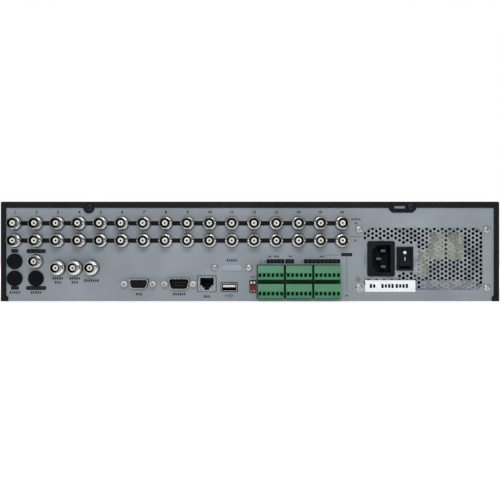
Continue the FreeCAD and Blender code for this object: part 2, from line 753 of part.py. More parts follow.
def base_chassis():
    sheet = box((-INNER_X, INNER_X), (CASE_FRONT, PANEL_BACK), (0, FLOOR))
    pieces = [sheet, front_wall(), fan_bracket()]
    wall_y = CASE_FRONT + CHASSIS_T
    for side in (-1, 1):
        x = sorted((side * (INNER_X - CHASSIS_T), side * INNER_X))
        pieces.append(box(x, (wall_y, PANEL_BACK - FLANGE - 3), (FLOOR, BASE_FLANGE_H)))
        top = HEIGHT - COVER_T - LID_GAP
        pieces.append(box(x, (wall_y, GUSSET_END), (BASE_FLANGE_H, top - CHASSIS_T)))
    for x in (PSU_SPAN_X[0] + RAIL_X_INSET, PSU_SPAN_X[1] - RAIL_X_INSET):
        y = (PSU_SPAN_Y[0] + 4, PANEL_BACK - FLANGE - 3)
        pieces.append(box(span(x, RAIL_W), y, (FLOOR, PSU_SPAN_Z[0])))
    cutters = floor_slots()
    cutters += [
        rod(FOOT_HOLE_R, (x, y, -1), (x, y, FLOOR + 1))
        for x in (-FOOT_HOLE_X, FOOT_HOLE_X)
        for y in (-FOOT_HOLE_Y, FOOT_HOLE_Y)
    ]
    for side in (-1, 1):
        cutters += side_holes(side, EAR_HOLE_R, EAR_PLACES)
        cutters += side_holes(side, SHANK_HOLE_R, SIDE_SCREW_PLACES)
    return fuse(pieces).cut(cutters)


def panel_holes(y):
    """Every hole wire of the connector panel, on the plane at y."""
    holes = [ring(BNC_BASE_R + BNC_HOLE_GAP, x, z, y) for x, z in VIDEO_PLACES + [AUDIO_PLACE]]
    holes += [ring(LINE_HOLE_R, x, z, y) for x, z in LINE_PLACES]
    holes += [ring(PLUG_STEM_R + PLUG_STEM_GAP, x, z, y) for x, z in CAP_PLACES]
    for x, size in zip(DSUB_X, (DSUB_SHELL, SERIAL_SHELL)):
        gap = 2 * DSUB_HOLE_GAP
        holes.append(outline(d_shape(size[0] + gap, size[1] + gap, x, DSUB_Z), y))
    holes += [ring(SHANK_HOLE_R, x, DSUB_Z, y) for x in JACKSCREW_X]
    for x, z, size, gap in (
        (at_u(LAN_U), LAN_Z, LAN_SIZE, LAN_HOLE_GAP),
        (at_u(USB_U), USB_Z, USB_SIZE, USB_HOLE_GAP),
        (DIP_X, DIP_Z, DIP_SIZE, DIP_CLEAR),
    ):
        holes.append(outline(rectangle(span(x, size[0] + 2 * gap), span(z, size[1] + 2 * gap)), y))
    top, low, tall = (size / 2 for size in BLANK_HOLE)
    half = [(low, -tall), (low, tall / 2), (top, tall)]
    edge = [(BLANK_X + dx, BLANK_Z + dz) for dx, dz in half]
    edge += [(BLANK_X - dx, BLANK_Z + dz) for dx, dz in reversed(half)]
    holes.append(outline(edge, y))
    holes += [ring(SHANK_HOLE_R, x, BLANK_Z, y) for x in BLANK_SCREW_X]
    strips = (strip_x(STRIP_COLUMNS - 1)[0] - STRIP_HOLE_GAP, strip_x(0)[1] + STRIP_HOLE_GAP)
    holes.append(outline(rectangle(strips, (STRIP_BOTTOM_Z, STRIP_TOP_Z + STRIP_HOLE_GAP)), y))
    holes.append(outline(bevelled(WINDOW_SPAN_X, PSU_WINDOW_Z, PSU_WINDOW_R), y))
    holes += [ring(SHANK_HOLE_R, x, z, y) for x, z in PSU_SCREWS]
    holes.append(ring(SHANK_HOLE_R, TAB_SCREW_X, TAB_SCREW_Z, y))
    holes.append(ring(COVER_SCREW_R + HOLE_CLEAR, ROUND_TAB_X, LIP_BOTTOM_Z, y))
    return holes


def rear_panel():
    top = HEIGHT - COVER_T - LID_GAP
    edge = rectangle((-INNER_X, INNER_X), (0, top))
    sheet = plate(edge, (PANEL_BACK, PANEL_Y), panel_holes(PANEL_BACK))
    low = lambda e: e.BoundBox.ZMax < TINY and e.BoundBox.YMin > PANEL_Y - TINY
    sheet = rounded(sheet, PANEL_BEND_R, ALONG_X, low)
    y = (PANEL_BACK - FLANGE, PANEL_BACK)
    inside = INNER_X - CHASSIS_T
    pieces = [sheet]
    strips = strip_x(STRIP_COLUMNS - 1)[0] - 2, strip_x(0)[1] + 2
    for x in ((-inside, strips[0]), (strips[1], inside)):
        pieces.append(box(x, y, (FLOOR, FLOOR + CHASSIS_T)))
    for side in (-1, 1):
        x = sorted((side * inside, side * INNER_X))
        pieces.append(box(x, y, (FLOOR, top)))
    return fuse(pieces)


def cover_screws():
    black = [
        aim(screw(COVER_HEAD_R, COVER_HEAD_H, COVER_SCREW_R), (ROUND_TAB_X, REAR, LIP_BOTTOM_Z), (0, 1, 0)),
        aim(screw(), (TAB_SCREW_X, REAR, TAB_SCREW_Z), (0, 1, 0)),
    ]
    for side in (-1, 1):
        for y, z in SIDE_SCREW_PLACES:
            body = flat_screw(SIDE_HEAD_R, SHANK_R, SIDE_SCREW_LENGTH)
            black.append(aim(body, (side * WIDTH / 2, y, z), (side, 0, 0)))
    return group(black)


def panel_screws():
    plain = [place for place in PSU_SCREWS if place != GROUND_PLACE]
    plain += [(x, BLANK_Z) for x in BLANK_SCREW_X]
    screws = [aim(screw(), (x, PANEL_Y, z), (0, 1, 0)) for x, z in plain]
    return group(screws)


def ground_screw():
    """The earth terminal: a serrated washer under a large cross-head screw."""
    x, z = GROUND_PLACE
    points = []
    for i in range(2 * WASHER_TEETH):
        reach = GROUND_HEAD_R + (WASHER_TOOTH if i % 2 else 0.0)
        turn = math.pi * i / WASHER_TEETH
        points.append((x + reach * math.cos(turn), z + reach * math.sin(turn)))
    y = (PANEL_Y, PANEL_Y + WASHER_T)
    washer = plate(points, y, [ring(SHANK_HOLE_R, x, z, y[0])])
    head = aim(screw(GROUND_HEAD_R - WASHER_TOOTH, GROUND_HEAD_H), (x, y[1], z), (0, 1, 0))
    return group([washer, head])


# ================================================================ BNC sockets
def bnc_base_r(place):
    return LINE_BASE_R if place in LINE_PLACES else BNC_BASE_R


BNC_TIP = PANEL_Y + BNC_LENGTH
BNC_FLOOR = BNC_TIP - BNC_BORE_DEPTH


def bnc_shell(place):
    """One bayonet socket body with its two locking lugs."""
    x, z = place
    base = rod_y(bnc_base_r(place), x, z, (PANEL_BACK, PANEL_Y + BNC_BASE_LENGTH))
    barrel = rod_y(BNC_BARREL_R, x, z, (PANEL_BACK, BNC_TIP))
    lug_y = BNC_TIP - BNC_LUG_SETBACK
    lugs = rod(BNC_LUG_R, (x - BNC_LUG_REACH, lug_y, z), (x + BNC_LUG_REACH, lug_y, z))
    bore = rod_y(BNC_BORE_R, x, z, (BNC_FLOOR, BNC_TIP + 1))
    core = rod_y(BNC_INSULATOR_R, x, z, (PANEL_BACK - 1, BNC_FLOOR + 1))
    return fuse([base, barrel, lugs]).cut([bore, core])


def bnc_insulator(place):
    x, z = place
    tube = rod_y(BNC_INSULATOR_R, x, z, (PANEL_BACK, BNC_TIP - BNC_INSULATOR_SETBACK))
    return tube.cut(rod_y(BNC_CONTACT_R, x, z, (PANEL_BACK - 1, BNC_TIP)))


def bnc_contact(place):
    x, z = place
    tip = BNC_TIP - BNC_INSULATOR_SETBACK
    pin = rod_y(BNC_CONTACT_R, x, z, (PANEL_BACK, tip))
    return pin.cut(rod_y(BNC_CONTACT_BORE_R, x, z, (BNC_FLOOR, tip + 1)))


def housing(x, low, high):
    """A moulded block behind the panel that carries one or two stacked sockets."""
    block = box(span(x, HOUSING_W), (PANEL_BACK - HOUSING_DEPTH, PANEL_BACK), (low, high))
    return rounded(block, HOUSING_EDGE_R, ALONG_Y)


def bnc_housings():
    high, low = BNC_ROWS_Z
    blocks = [housing(x, low - HOUSING_MARGIN, high + HOUSING_MARGIN) for x in BNC_X]
    high, low = LOWER_ROWS_Z
    blocks += [housing(at_u(u), low - HOUSING_MARGIN, high + HOUSING_MARGIN) for u in AUDIO_U]
    blocks += [housing(x, LINE_Z - HOUSING_MARGIN, LINE_Z + HOUSING_MARGIN) for x, _ in LINE_PLACES]
    return group(blocks)


def blank_plug(place):
    """A domed cap that closes an unused socket hole."""
    x, z = place
    stem = rod_y(PLUG_STEM_R, x, z, (PANEL_BACK, PANEL_Y))
    cap = rod_y(PLUG_CAP_R, x, z, (PANEL_Y, PANEL_Y + PLUG_CAP_T))
    rim = [e for e in cap.Edges if e.BoundBox.YMin > PANEL_Y + PLUG_CAP_T - TINY]
    cap = cap.makeFillet(PLUG_DOME, rim)
    return fuse([stem, cap])


# ================================================================ data and display ports
def dsub_shell(x, size):
    """The pressed steel shell and flange of a D-subminiature socket."""
    width, height = size
    y = (PANEL_BACK - DSUB_FLANGE[2], PANEL_Y + DSUB_REACH)
    bore = d_shape(width - 2 * DSUB_T, height - 2 * DSUB_T, x, DSUB_Z)
    tube = plate(d_shape(width, height, x, DSUB_Z), y, [outline(bore, y[0])])
    holes = [outline(bore, y[0])]
    holes += [ring(SHANK_HOLE_R, x + side * JACKSCREW_SPACING / 2, DSUB_Z, y[0]) for side in (-1, 1)]
    edge = rectangle(span(x, DSUB_FLANGE[0]), span(DSUB_Z, DSUB_FLANGE[1]))
    return fuse([tube, plate(edge, (y[0], PANEL_BACK), holes)])


def dsub_block(x):
    """The moulded block behind a D-subminiature flange."""
    y = PANEL_BACK - DSUB_FLANGE[2]
    block = box(span(x, DSUB_FLANGE[0] - 2), (y - DSUB_BODY_DEPTH, y), (BOARD_TOP, DSUB_Z + 5))
    return block.cut([
        rod_y(SHANK_HOLE_R, x + side * JACKSCREW_SPACING / 2, DSUB_Z, (y - DSUB_SCREW_DEPTH, y + 1))
        for side in (-1, 1)
    ])


def pin_rows(x, counts, pitch, row_pitch):
    """Places of staggered pin rows, the longest row on top."""
    places = []
    for row, count in enumerate(counts):
        z = DSUB_Z + row_pitch * ((len(counts) - 1) / 2 - row)
        shift = pitch * (counts[0] - count) / 2 if len(set(counts)) > 1 else pitch / 4 * (-1) ** row
        start = x - pitch * (counts[0] - 1) / 2 + shift
        places += [(start + pitch * i, z) for i in range(count)]
    return places


VGA_PINS = pin_rows(DSUB_X[0], (5, 5, 5), *VGA_PITCH)
SERIAL_PINS = pin_rows(DSUB_X[1], (5, 4), *SERIAL_PITCH)


def dsub_insert(x, size, y_front):
    """The insulator that fills a shell up to y_front, with the block behind it."""
    width, height = size
    fill = d_shape(width - 2 * DSUB_T, height - 2 * DSUB_T, x, DSUB_Z)
    core = plate(fill, (PANEL_BACK - DSUB_FLANGE[2], y_front))
    return fuse([core, dsub_block(x)])


def dsub_inserts():
    front = PANEL_Y + DSUB_REACH - DSUB_INSERT_SETBACK
    vga = dsub_insert(DSUB_X[0], DSUB_SHELL, front)
    vga = vga.cut([rod_y(VGA_HOLE_R, x, z, (front - DSUB_SOCKET_DEPTH, front + 1)) for x, z in VGA_PINS])
    serial = dsub_insert(DSUB_X[1], SERIAL_SHELL, PANEL_BACK)
    sockets = (PANEL_BACK - DSUB_SOCKET_DEPTH, PANEL_BACK + 1)
    serial = serial.cut([rod_y(SERIAL_PIN_R, x, z, sockets) for x, z in SERIAL_PINS])
    return group([vga, serial])


def serial_pins():
    y = (PANEL_BACK - DSUB_SOCKET_DEPTH, PANEL_Y + DSUB_REACH - 1)
    return group([rod_y(SERIAL_PIN_R, x, z, y) for x, z in SERIAL_PINS])


def jackscrew(x):
    """A hexagonal standoff screw beside a D-subminiature socket, threaded for a cable's thumbscrew."""
    corner = JACKSCREW_AF / math.sqrt(3)
    turns = [math.pi * i / 3 for i in range(6)]
    points = [(x + corner * math.cos(turn), DSUB_Z + corner * math.sin(turn)) for turn in turns]
    y = (PANEL_Y, PANEL_Y + JACKSCREW_LENGTH)
    shank = rod_y(SHANK_R, x, DSUB_Z, (PANEL_Y - SCREW_LENGTH, PANEL_Y))
    body = fuse([plate(points, y), shank])
    return body.cut(rod_y(JACKSCREW_BORE_R, x, DSUB_Z, (y[0], y[1] + 1)))


def lan_jack():
    """The shielded modular jack: a block with a keyed mouth."""
    x = at_u(LAN_U)
    front = PANEL_Y + LAN_REACH
    block = box(span(x, LAN_SIZE[0]), (front - LAN_DEPTH, front), span(LAN_Z, LAN_SIZE[1]))
    mouth_y = (front - LAN_MOUTH_DEPTH, front + 1)
    low = LAN_Z + LAN_SIZE[1] / 2 - LAN_LIP
    mouth = [box(span(x, LAN_MOUTH[0]), mouth_y, (low - LAN_MOUTH[1], low))]
    step = low - LAN_MOUTH[1]
    for width, height in LAN_KEY:
        mouth.append(box(span(x, width), mouth_y, (step - height, step + 0.1)))
        step -= height
    return block.cut(fuse(mouth))


def usb_port(x, z, depth):
    """The metal shell and the plastic tongue of a type A port. Its mouth faces +Y, at y = 0."""
    width, height = USB_SIZE
    shell = box(span(x, width), (-depth, 0), span(z, height))
    inner = box(span(x, width - 2 * USB_T), (USB_T - depth, 1), span(z, height - 2 * USB_T))
    tongue_z = z + USB_TONGUE_RISE
    tongue = box(span(x, USB_TONGUE[0]), (USB_T - depth, -1), span(tongue_z, USB_TONGUE[1]))
    return shell.cut(inner), tongue


def usb_ports():
    """The rear port and the fascia port, as (shells, tongues)."""
    rear = [moved(piece, y=PANEL_Y + USB_REACH) for piece in usb_port(at_u(USB_U), USB_Z, USB_DEPTH)]
    feet_y = (PANEL_Y + USB_REACH - USB_DEPTH, BOARD_Y[1])
    feet = box(span(at_u(USB_U), USB_SIZE[0]), feet_y, (BOARD_TOP, USB_Z - USB_SIZE[1] / 2))
    depth = KEY_BOARD_Y - (FRONT - USB_REACH)
    front = []
    for piece in usb_port(-FRONT_USB_X, FRONT_USB_Z, depth):
        turned = piece.rotated(Vector(0, 0, 0), ALONG_Z, 180)
        front.append(moved(turned, y=FRONT - USB_REACH))
    return group([fuse([rear[0], feet]), front[0]]), group([rear[1], front[1]])


def blanking_plate():
    """The plate behind the unused trapezoid opening."""
    width, height, thick = BLANK_PLATE
    y = (PANEL_BACK - thick, PANEL_BACK)
    holes = [ring(SHANK_HOLE_R, x, BLANK_Z, y[0]) for x in BLANK_SCREW_X]
    return plate(rectangle(span(BLANK_X, width), span(BLANK_Z, height)), y, holes)


def dip_switch_body():
    front = PANEL_Y + DIP_REACH
    block = box(span(DIP_X, DIP_SIZE[0]), (front - DIP_DEPTH, front), span(DIP_Z, DIP_SIZE[1]))
    y = (front - DIP_DEPTH - DIP_DEPTH, front - DIP_DEPTH)
    foot = box(span(DIP_X, DIP_SIZE[0]), y, (BOARD_TOP, DIP_Z + DIP_SIZE[1] / 2))
    slots = [
        box(span(x, DIP_SLOT[0]), (front - DIP_SLOT_DEPTH, front + 1), span(DIP_SLOT_Z, DIP_SLOT[1]))
        for x in DIP_SLOT_X
    ]
    return fuse([block, foot]).cut(slots)


def dip_slider(x):
    """One slide button, in its upper place."""
    front = PANEL_Y + DIP_REACH
    top = DIP_SLOT_Z + DIP_SLOT[1] / 2 - DIP_CLEAR
    height = DIP_SLOT[1] - 2 * DIP_CLEAR - DIP_TRAVEL
    return box(span(x, DIP_SLIDER), (front - DIP_SLOT_DEPTH, front + DIP_PROUD), (top - height, top))


# ================================================================ alarm terminals
PLUG_PLACES = [(column, level) for level in range(2) for column in range(STRIP_COLUMNS)]


def wider(pairs, clear):
    """The same three pairs, grown by clear on every side in X and Z."""
    x, y, z = pairs
    return ((x[0] - clear, x[1] + clear), y, (z[0] - clear, z[1] + clear))


def pin_z(column, level):
    """The height of the header pins of one plug."""
    return plug_box(column, level)[2][0] + WIRE_HOLE_RISE + HEADER_PIN


def terminal_header(column):
    """The fixed half of two stacked terminal blocks: a box with two sockets and their pins."""
    x = strip_x(column)
    body = box(x, (PANEL_Y - STRIP_BACK, PANEL_Y + STRIP_REACH), (STRIP_BOTTOM_Z, STRIP_TOP_Z))
    pins = []
    for level in range(2):
        pairs = wider(plug_box(column, level), PLUG_CLEAR)
        body = body.cut(box(pairs[0], (PANEL_Y - PLUG_SEAT, REAR + PLUG_REACH), pairs[2]))
        z = pin_z(column, level)
        pins += [
            box(span(px, HEADER_PIN), (PANEL_Y - PLUG_SEAT, PANEL_Y - PLUG_CLEAR), span(z, HEADER_PIN))
            for px in pole_x(column)
        ]
    return group([body, *pins])


def terminal_plug(column, level):
    """One six-way screw terminal plug: wire holes in its face and clamp screw wells on top."""
    x, y, z = plug_box(column, level)
    side = [
        (y[0], z[0]), (y[1], z[0]), (y[1], z[0] + PLUG_STEP), (y[1] - PLUG_SLOPE, z[1]), (y[0], z[1]),
    ]
    face = Part.Face(Part.makePolygon([Vector(x[0], py, pz) for py, pz in side + side[:1]]))
    body = face.extrude(Vector(x[1] - x[0], 0, 0))
    cutters = []
    socket = HEADER_PIN + 2 * PIN_CLEAR
    hole_y = (y[1] - WIRE_HOLE_DEPTH, y[1] + 1)
    hole_z = span(z[0] + WIRE_HOLE_RISE, WIRE_HOLE[1])
    for px in pole_x(column):
        cutters.append(box(span(px, WIRE_HOLE[0]), hole_y, hole_z))
        cutters.append(box(span(px, socket), (y[0] - 1, PANEL_Y), span(pin_z(column, level), socket)))
        well_y = y[1] - PLUG_SLOPE - 2 * CLAMP_WELL_R
        cutters.append(rod(CLAMP_WELL_R, (px, well_y, z[1] - CLAMP_WELL_DEPTH), (px, well_y, z[1] + 1)))
    return body.cut(cutters)


# ================================================================ power supply
def near_box(x, z, span_x, span_z, margin):
    """Whether a point lies within margin of a rectangle."""
    inside_x = span_x[0] - margin < x < span_x[1] + margin
    return inside_x and span_z[0] - margin < z < span_z[1] + margin


def vent_places():
    """Centres of the staggered vent holes in the power supply's outer wall."""
    blocked = [
        (span(INLET_X, INLET_FLANGE[0]), span(PSU_CENTRE_Z, INLET_FLANGE[1])),
        (span(SWITCH_X, SWITCH_FLANGE[0]), span(PSU_CENTRE_Z, SWITCH_FLANGE[1])),
    ]
    column_step = VENT_STEP * math.sqrt(3) / 2
    start_x = WINDOW_SPAN_X[1] - VENT_INSET
    columns = int((start_x - WINDOW_SPAN_X[0]) / column_step) + 1
    rows = int((PSU_WINDOW_Z[1] - PSU_WINDOW_Z[0]) / VENT_STEP) + 2
    places = []
    for i in range(columns):
        for j in range(rows):
            x = start_x - column_step * i
            z = PSU_WINDOW_Z[1] - VENT_INSET - VENT_STEP * (j + (0.5 if i % 2 else 0.0))
            inside = PSU_WINDOW_Z[0] - TINY < z < PSU_WINDOW_Z[1] + TINY
            clear = not any(near_box(x, z, bx, bz, VENT_R + VENT_MARGIN) for bx, bz in blocked)
            if inside and clear and not near_corner(x, z):
                places.append((x, z))
    return places


def near_corner(x, z):
    """Whether a vent would break out behind one of the window's cut corners."""
    across = min(x - WINDOW_SPAN_X[0], WINDOW_SPAN_X[1] - x)
    up = min(z - PSU_WINDOW_Z[0], PSU_WINDOW_Z[1] - z)
    return across + up < PSU_WINDOW_R + VENT_R


def psu_case():
    """The lower shell: floor, outer wall and two sides."""
    x, y, z = PSU_SPAN_X, PSU_SPAN_Y, PSU_SPAN_Z
    wall_y = (y[1] - PSU_T, y[1])
    holes = [ring(VENT_R, vx, vz, wall_y[0]) for vx, vz in vent_places()]
    holes += [ring(SHANK_HOLE_R, sx, sz, wall_y[0]) for sx, sz in PSU_SCREWS]
    for middle, body in ((INLET_X, INLET_BODY), (SWITCH_X, SWITCH_BODY)):
        edge = rectangle(span(middle, body[0] + LID_GAP), span(PSU_CENTRE_Z, body[1] + LID_GAP))
        holes.append(outline(edge, wall_y[0]))
    wall = plate(rectangle(x, (z[0], z[1] - PSU_T)), wall_y, holes)
    floor = box(x, y, (z[0], z[0] + PSU_T))
    ends = ((x[0], x[0] + PSU_T), (x[1] - PSU_T, x[1]))
    sides = [box(pair, y, (z[0], z[1] - PSU_T)) for pair in ends]
    return fuse([wall, floor, *sides])


def psu_cover():
    """The upper shell: top and inner wall, with the fan's mouth."""
    x, y, z = PSU_SPAN_X, PSU_SPAN_Y, PSU_SPAN_Z
    top = box(x, y, (z[1] - PSU_T, z[1]))
    wall_x = (x[0] + PSU_T, x[1] - PSU_T)
    mouth = [ring(PSU_FAN[0] / 2 - FAN_WALL, PSU_X, PSU_CENTRE_Z, y[0])]
    inner = plate(rectangle(wall_x, (z[0] + PSU_T, z[1])), (y[0], y[0] + PSU_T), mouth)
    return fuse([top, inner])


def inlet_outline(width, height, bevel):
    """The inlet's outline: a rectangle whose two corners on the earth side are cut off."""
    x, z = span(INLET_X, width), span(PSU_CENTRE_Z, height)
    return [
        (x[0], z[0]), (x[1] - bevel, z[0]), (x[1], z[0] + bevel), (x[1], z[1] - bevel),
        (x[1] - bevel, z[1]), (x[0], z[1]),
    ]


INLET_FACE = PANEL_BACK + INLET_FLANGE[2]


def ac_inlet():
    edge_x, edge_z = span(INLET_X, INLET_FLANGE[0]), span(PSU_CENTRE_Z, INLET_FLANGE[1])
    flange = plate(bevelled(edge_x, edge_z, INLET_FLANGE_BEVEL), (PANEL_BACK, INLET_FACE))
    body = plate(inlet_outline(INLET_BODY[0], INLET_BODY[1], INLET_BEVEL - 1),
                 (INLET_FACE - INLET_BODY[2], PANEL_BACK))
    mouth = plate(inlet_outline(INLET_MOUTH[0], INLET_MOUTH[1], INLET_BEVEL),
                  (INLET_FACE - INLET_MOUTH[2], INLET_FACE + 1))
    return fuse([flange, body]).cut(mouth)


def ac_inlet_pins():
    """The two live pins and the longer earth pin, on the inlet's floor."""
    floor = INLET_FACE - INLET_MOUTH[2]
    tall, wide = INLET_PIN
    tip = INLET_FACE - INLET_PIN_SHORT
    live_x = INLET_X - INLET_PIN_OFFSET
    pins = [
        box(span(live_x, tall), (floor, tip), span(PSU_CENTRE_Z + side * INLET_PIN_SPREAD, wide))
        for side in (-1, 1)
    ]
    earth_y = (floor, tip + INLET_EARTH_LEAD)
    pins.append(box(span(INLET_X + INLET_PIN_OFFSET, tall), earth_y, span(PSU_CENTRE_Z, wide)))
    return group(pins)


def switch_frame():
    """The rocker's bezel and body, with the pin that the rocker turns on."""
    face = PANEL_BACK + SWITCH_FLANGE[2]
    back = face - SWITCH_BODY[2]

    def block(size, y):
        return box(span(SWITCH_X, size[0]), y, span(PSU_CENTRE_Z, size[1]))

    flange = block(SWITCH_FLANGE, (PANEL_BACK, face))
    body = block(SWITCH_BODY, (back, PANEL_BACK))
    well = block(SWITCH_OPENING, (back + SWITCH_FLOOR, face + 1))
    reach = SWITCH_OPENING[0] / 2 + SWITCH_PIN_GRIP
    ends = [(SWITCH_X + side * reach, PIVOT_Y, PSU_CENTRE_Z) for side in (-1, 1)]
    return fuse([fuse([flange, body]).cut(well), rod(PIVOT_R, *ends)])


def power_rocker():
    """The rocker with its upper end pressed in."""
    half, rise, dip = ROCKER_HALF, ROCKER_RISE, ROCKER_DIP
    points = [
        (-ROCKER_FOOT, -ROCKER_DROP), (0, -half), (rise, -half), (dip, 0), (rise, half), (0, half),
        (-ROCKER_FOOT, ROCKER_DROP),
    ]
    wire = Part.makePolygon([Vector(0, py, pz) for py, pz in points + points[:1]])
    body = moved(Part.Face(wire).extrude(Vector(ROCKER_W, 0, 0)), x=-ROCKER_W / 2)
    body = body.cut(rod(PIVOT_R + RUN_CLEAR, (-ROCKER_W, 0, 0), (ROCKER_W, 0, 0)))
    body = body.rotated(Vector(0, 0, 0), ALONG_X, ROCKER_TILT)
    return moved(body, SWITCH_X, PIVOT_Y, PSU_CENTRE_Z)


def psu_board():
    z = PSU_SPAN_Z[0] + PSU_T + PSU_BOARD_RISE
    y = (PSU_SPAN_Y[0] + PSU_T + PSU_FAN[1] + 2, PSU_BOARD_END)
    return box((PSU_SPAN_X[0] + 3, PSU_SPAN_X[1] - 3), y, (z, z + PSU_BOARD_T))


PSU_DECK = PSU_SPAN_Z[0] + PSU_T + PSU_BOARD_RISE + PSU_BOARD_T


def psu_windings():
    """Taped transformers and a choke, standing on the power supply's board."""
    blocks = []
    for u, top in PSU_WINDINGS:
        block = box((at_u(u[1]), at_u(u[0])), PSU_WINDING_Y, (PSU_DECK, top))
        blocks.append(rounded(block, PSU_WINDING_R, ALONG_Z))
    return group(blocks)


def psu_barrier():
    """A white insulating strip between the power supply's board and its outer wall."""
    x = (at_u(PSU_BARRIER_U[1]), at_u(PSU_BARRIER_U[0]))
    return box(x, (PSU_BOARD_END, PSU_BOARD_END + PSU_BARRIER_T), (PSU_SPAN_Z[0] + PSU_T, PSU_BARRIER_TOP))


def psu_heatsinks():
    """Finned aluminium blocks beside the transformers."""
    sinks = []
    for x in PSU_SINK_X:
        plate_y = (PSU_SPAN_Y[0] + PSU_T + PSU_FAN[1] + 5, PSU_SINK_END)
        face = x + SINK_BACK_T
        back = box((x, face), plate_y, (PSU_DECK, PSU_SINK_TOP))
        places = [plate_y[0] + FIN[1] * i for i in range(int((plate_y[1] - plate_y[0]) / FIN[1]))]
        fins = [box((face, face + FIN[2]), (y, y + FIN[0]), (PSU_DECK + 2, PSU_SINK_TOP)) for y in places]
        sinks.append(fuse([back, *fins]))
    return group(sinks)


# ================================================================ fans
def fan_frame(side, depth):
    """A fan housing from the origin up Z: square rim, round duct, motor plate on spokes and a shaft."""
    half = side / 2
    rim = Part.makeBox(side, side, depth, Vector(-half, -half, 0))
    rim = rounded(rim, FAN_CORNER_R, ALONG_Z)
    duct_r = half - FAN_WALL
    corner = half - FAN_SCREW_INSET
    cutters = [Part.makeCylinder(duct_r, depth + 2, Vector(0, 0, -1))]
    for x in (-corner, corner):
        for y in (-corner, corner):
            cutters.append(Part.makeCylinder(FAN_SCREW_R, depth + 2, Vector(x, y, -1)))
    hub = Part.makeCylinder(side * FAN_HUB, FAN_PLATE)
    reach = duct_r + FAN_WALL / 4
    spokes = [
        Part.makeBox(2 * reach, FAN_SPOKE, FAN_PLATE, Vector(-reach, -FAN_SPOKE / 2, 0)),
        Part.makeBox(FAN_SPOKE, 2 * reach, FAN_PLATE, Vector(-FAN_SPOKE / 2, -reach, 0)),
    ]
    shaft = Part.makeCylinder(FAN_SHAFT_R, depth - FAN_AIR)
    return fuse([rim.cut(cutters), hub, *spokes, shaft])


def fan_rotor(side, depth):
    """A fan wheel for the frame above: a bored hub with pitched blades."""
    hub_r = side * FAN_HUB
    tip_r = side / 2 - FAN_WALL - FAN_TIP_GAP
    low = FAN_PLATE + FAN_AIR
    tall = depth - low - FAN_AIR
    pitch = math.radians(FAN_PITCH)
    chord = (tall - BLADE_T * math.cos(pitch)) / math.sin(pitch) * FAN_FILL
    blade = Part.makeBox(tip_r, chord, BLADE_T, Vector(hub_r - 1, -chord / 2, -BLADE_T / 2))
    blade = blade.rotated(Vector(0, 0, 0), ALONG_X, FAN_PITCH)
    blade = moved(blade, z=low + tall / 2).common(Part.makeCylinder(tip_r, depth))
    turns = [blade.rotated(Vector(0, 0, 0), ALONG_Z, 360 * i / FAN_BLADES) for i in range(FAN_BLADES)]
    hub = Part.makeCylinder(hub_r, tall, Vector(0, 0, low))
    bore = Part.makeCylinder(FAN_SHAFT_R + RUN_CLEAR, depth + 2, Vector(0, 0, -1))
    return fuse([hub, *turns]).cut(bore)


PSU_FAN_PLACE = ((PSU_X, PSU_SPAN_Y[0] + PSU_T + PSU_FAN[1], PSU_CENTRE_Z), (0, -1, 0))
CASE_FAN_PLACE = ((CASE_FAN_X + CASE_FAN[1] / 2, CASE_FAN_Y, CASE_FAN_Z), (-1, 0, 0))


# ================================================================ boards
def main_board():
    """The large board, stepped back behind the terminal strips."""
    x, y = BOARD_X, BOARD_Y
    board = box(x, y, (BOARD_TOP - BOARD_T, BOARD_TOP))
    notch_x = (strip_x(STRIP_COLUMNS - 1)[0] - 1, strip_x(0)[1] + 1)
    cutters = [box(notch_x, (PANEL_Y - STRIP_BACK, y[1] + 1), (0, BOARD_TOP + 1))]
    cutters += [rod(SHANK_HOLE_R, (sx, sy, 0), (sx, sy, BOARD_TOP + 1)) for sx, sy in STANDOFFS]
    return board.cut(cutters)


VIDEO_BOARD_Y = PANEL_BACK - HOUSING_DEPTH


def video_board():
    """The upright board that the BNC housings are soldered to."""
    x = (at_u(VIDEO_BOARD_U[1]), at_u(VIDEO_BOARD_U[0]))
    step = at_u(VIDEO_BOARD_STEP_U)
    low, high = VIDEO_BOARD_Z
    points = [
        (x[0], low), (step, low), (step, VIDEO_BOARD_DROP), (x[1], VIDEO_BOARD_DROP),
        (x[1], high), (x[0], high),
    ]
    return plate(points, (VIDEO_BOARD_Y - BOARD_T, VIDEO_BOARD_Y))


def standoffs():
    posts = []
    for x, y in STANDOFFS:
        post = rod(STANDOFF_R, (x, y, FLOOR), (x, y, BOARD_TOP - BOARD_T))
        posts.append(post.cut(rod(SHANK_R, (x, y, FLOOR + 1), (x, y, BOARD_TOP))))
    back = CASE_FRONT
    for x, z in KEY_PILLARS:
        posts.append(rod_y(STANDOFF_R, x, z, (KEY_BOARD_Y + BOARD_T, back)))
    deck = PSU_DECK - PSU_BOARD_T
    for x in (PSU_SPAN_X[0] + 7, PSU_SPAN_X[1] - 7):
        for y in (PSU_SPAN_Y[0] + 30, PSU_BOARD_END - 6):
            posts.append(rod(STANDOFF_R, (x, y, PSU_SPAN_Z[0] + PSU_T), (x, y, deck)))
    return group(posts)


def board_screws():
    length = BOARD_TOP - FLOOR - 1
    screws = [aim(screw(length=length), (x, y, BOARD_TOP), (0, 0, 1)) for x, y in STANDOFFS]
    return group(screws)


def on_board(x, y, size):
    """A part of size (x, y, z) standing on the main board, centred at x and y."""
    return box(span(x, size[0]), span(y, size[1]), (BOARD_TOP, BOARD_TOP + size[2]))


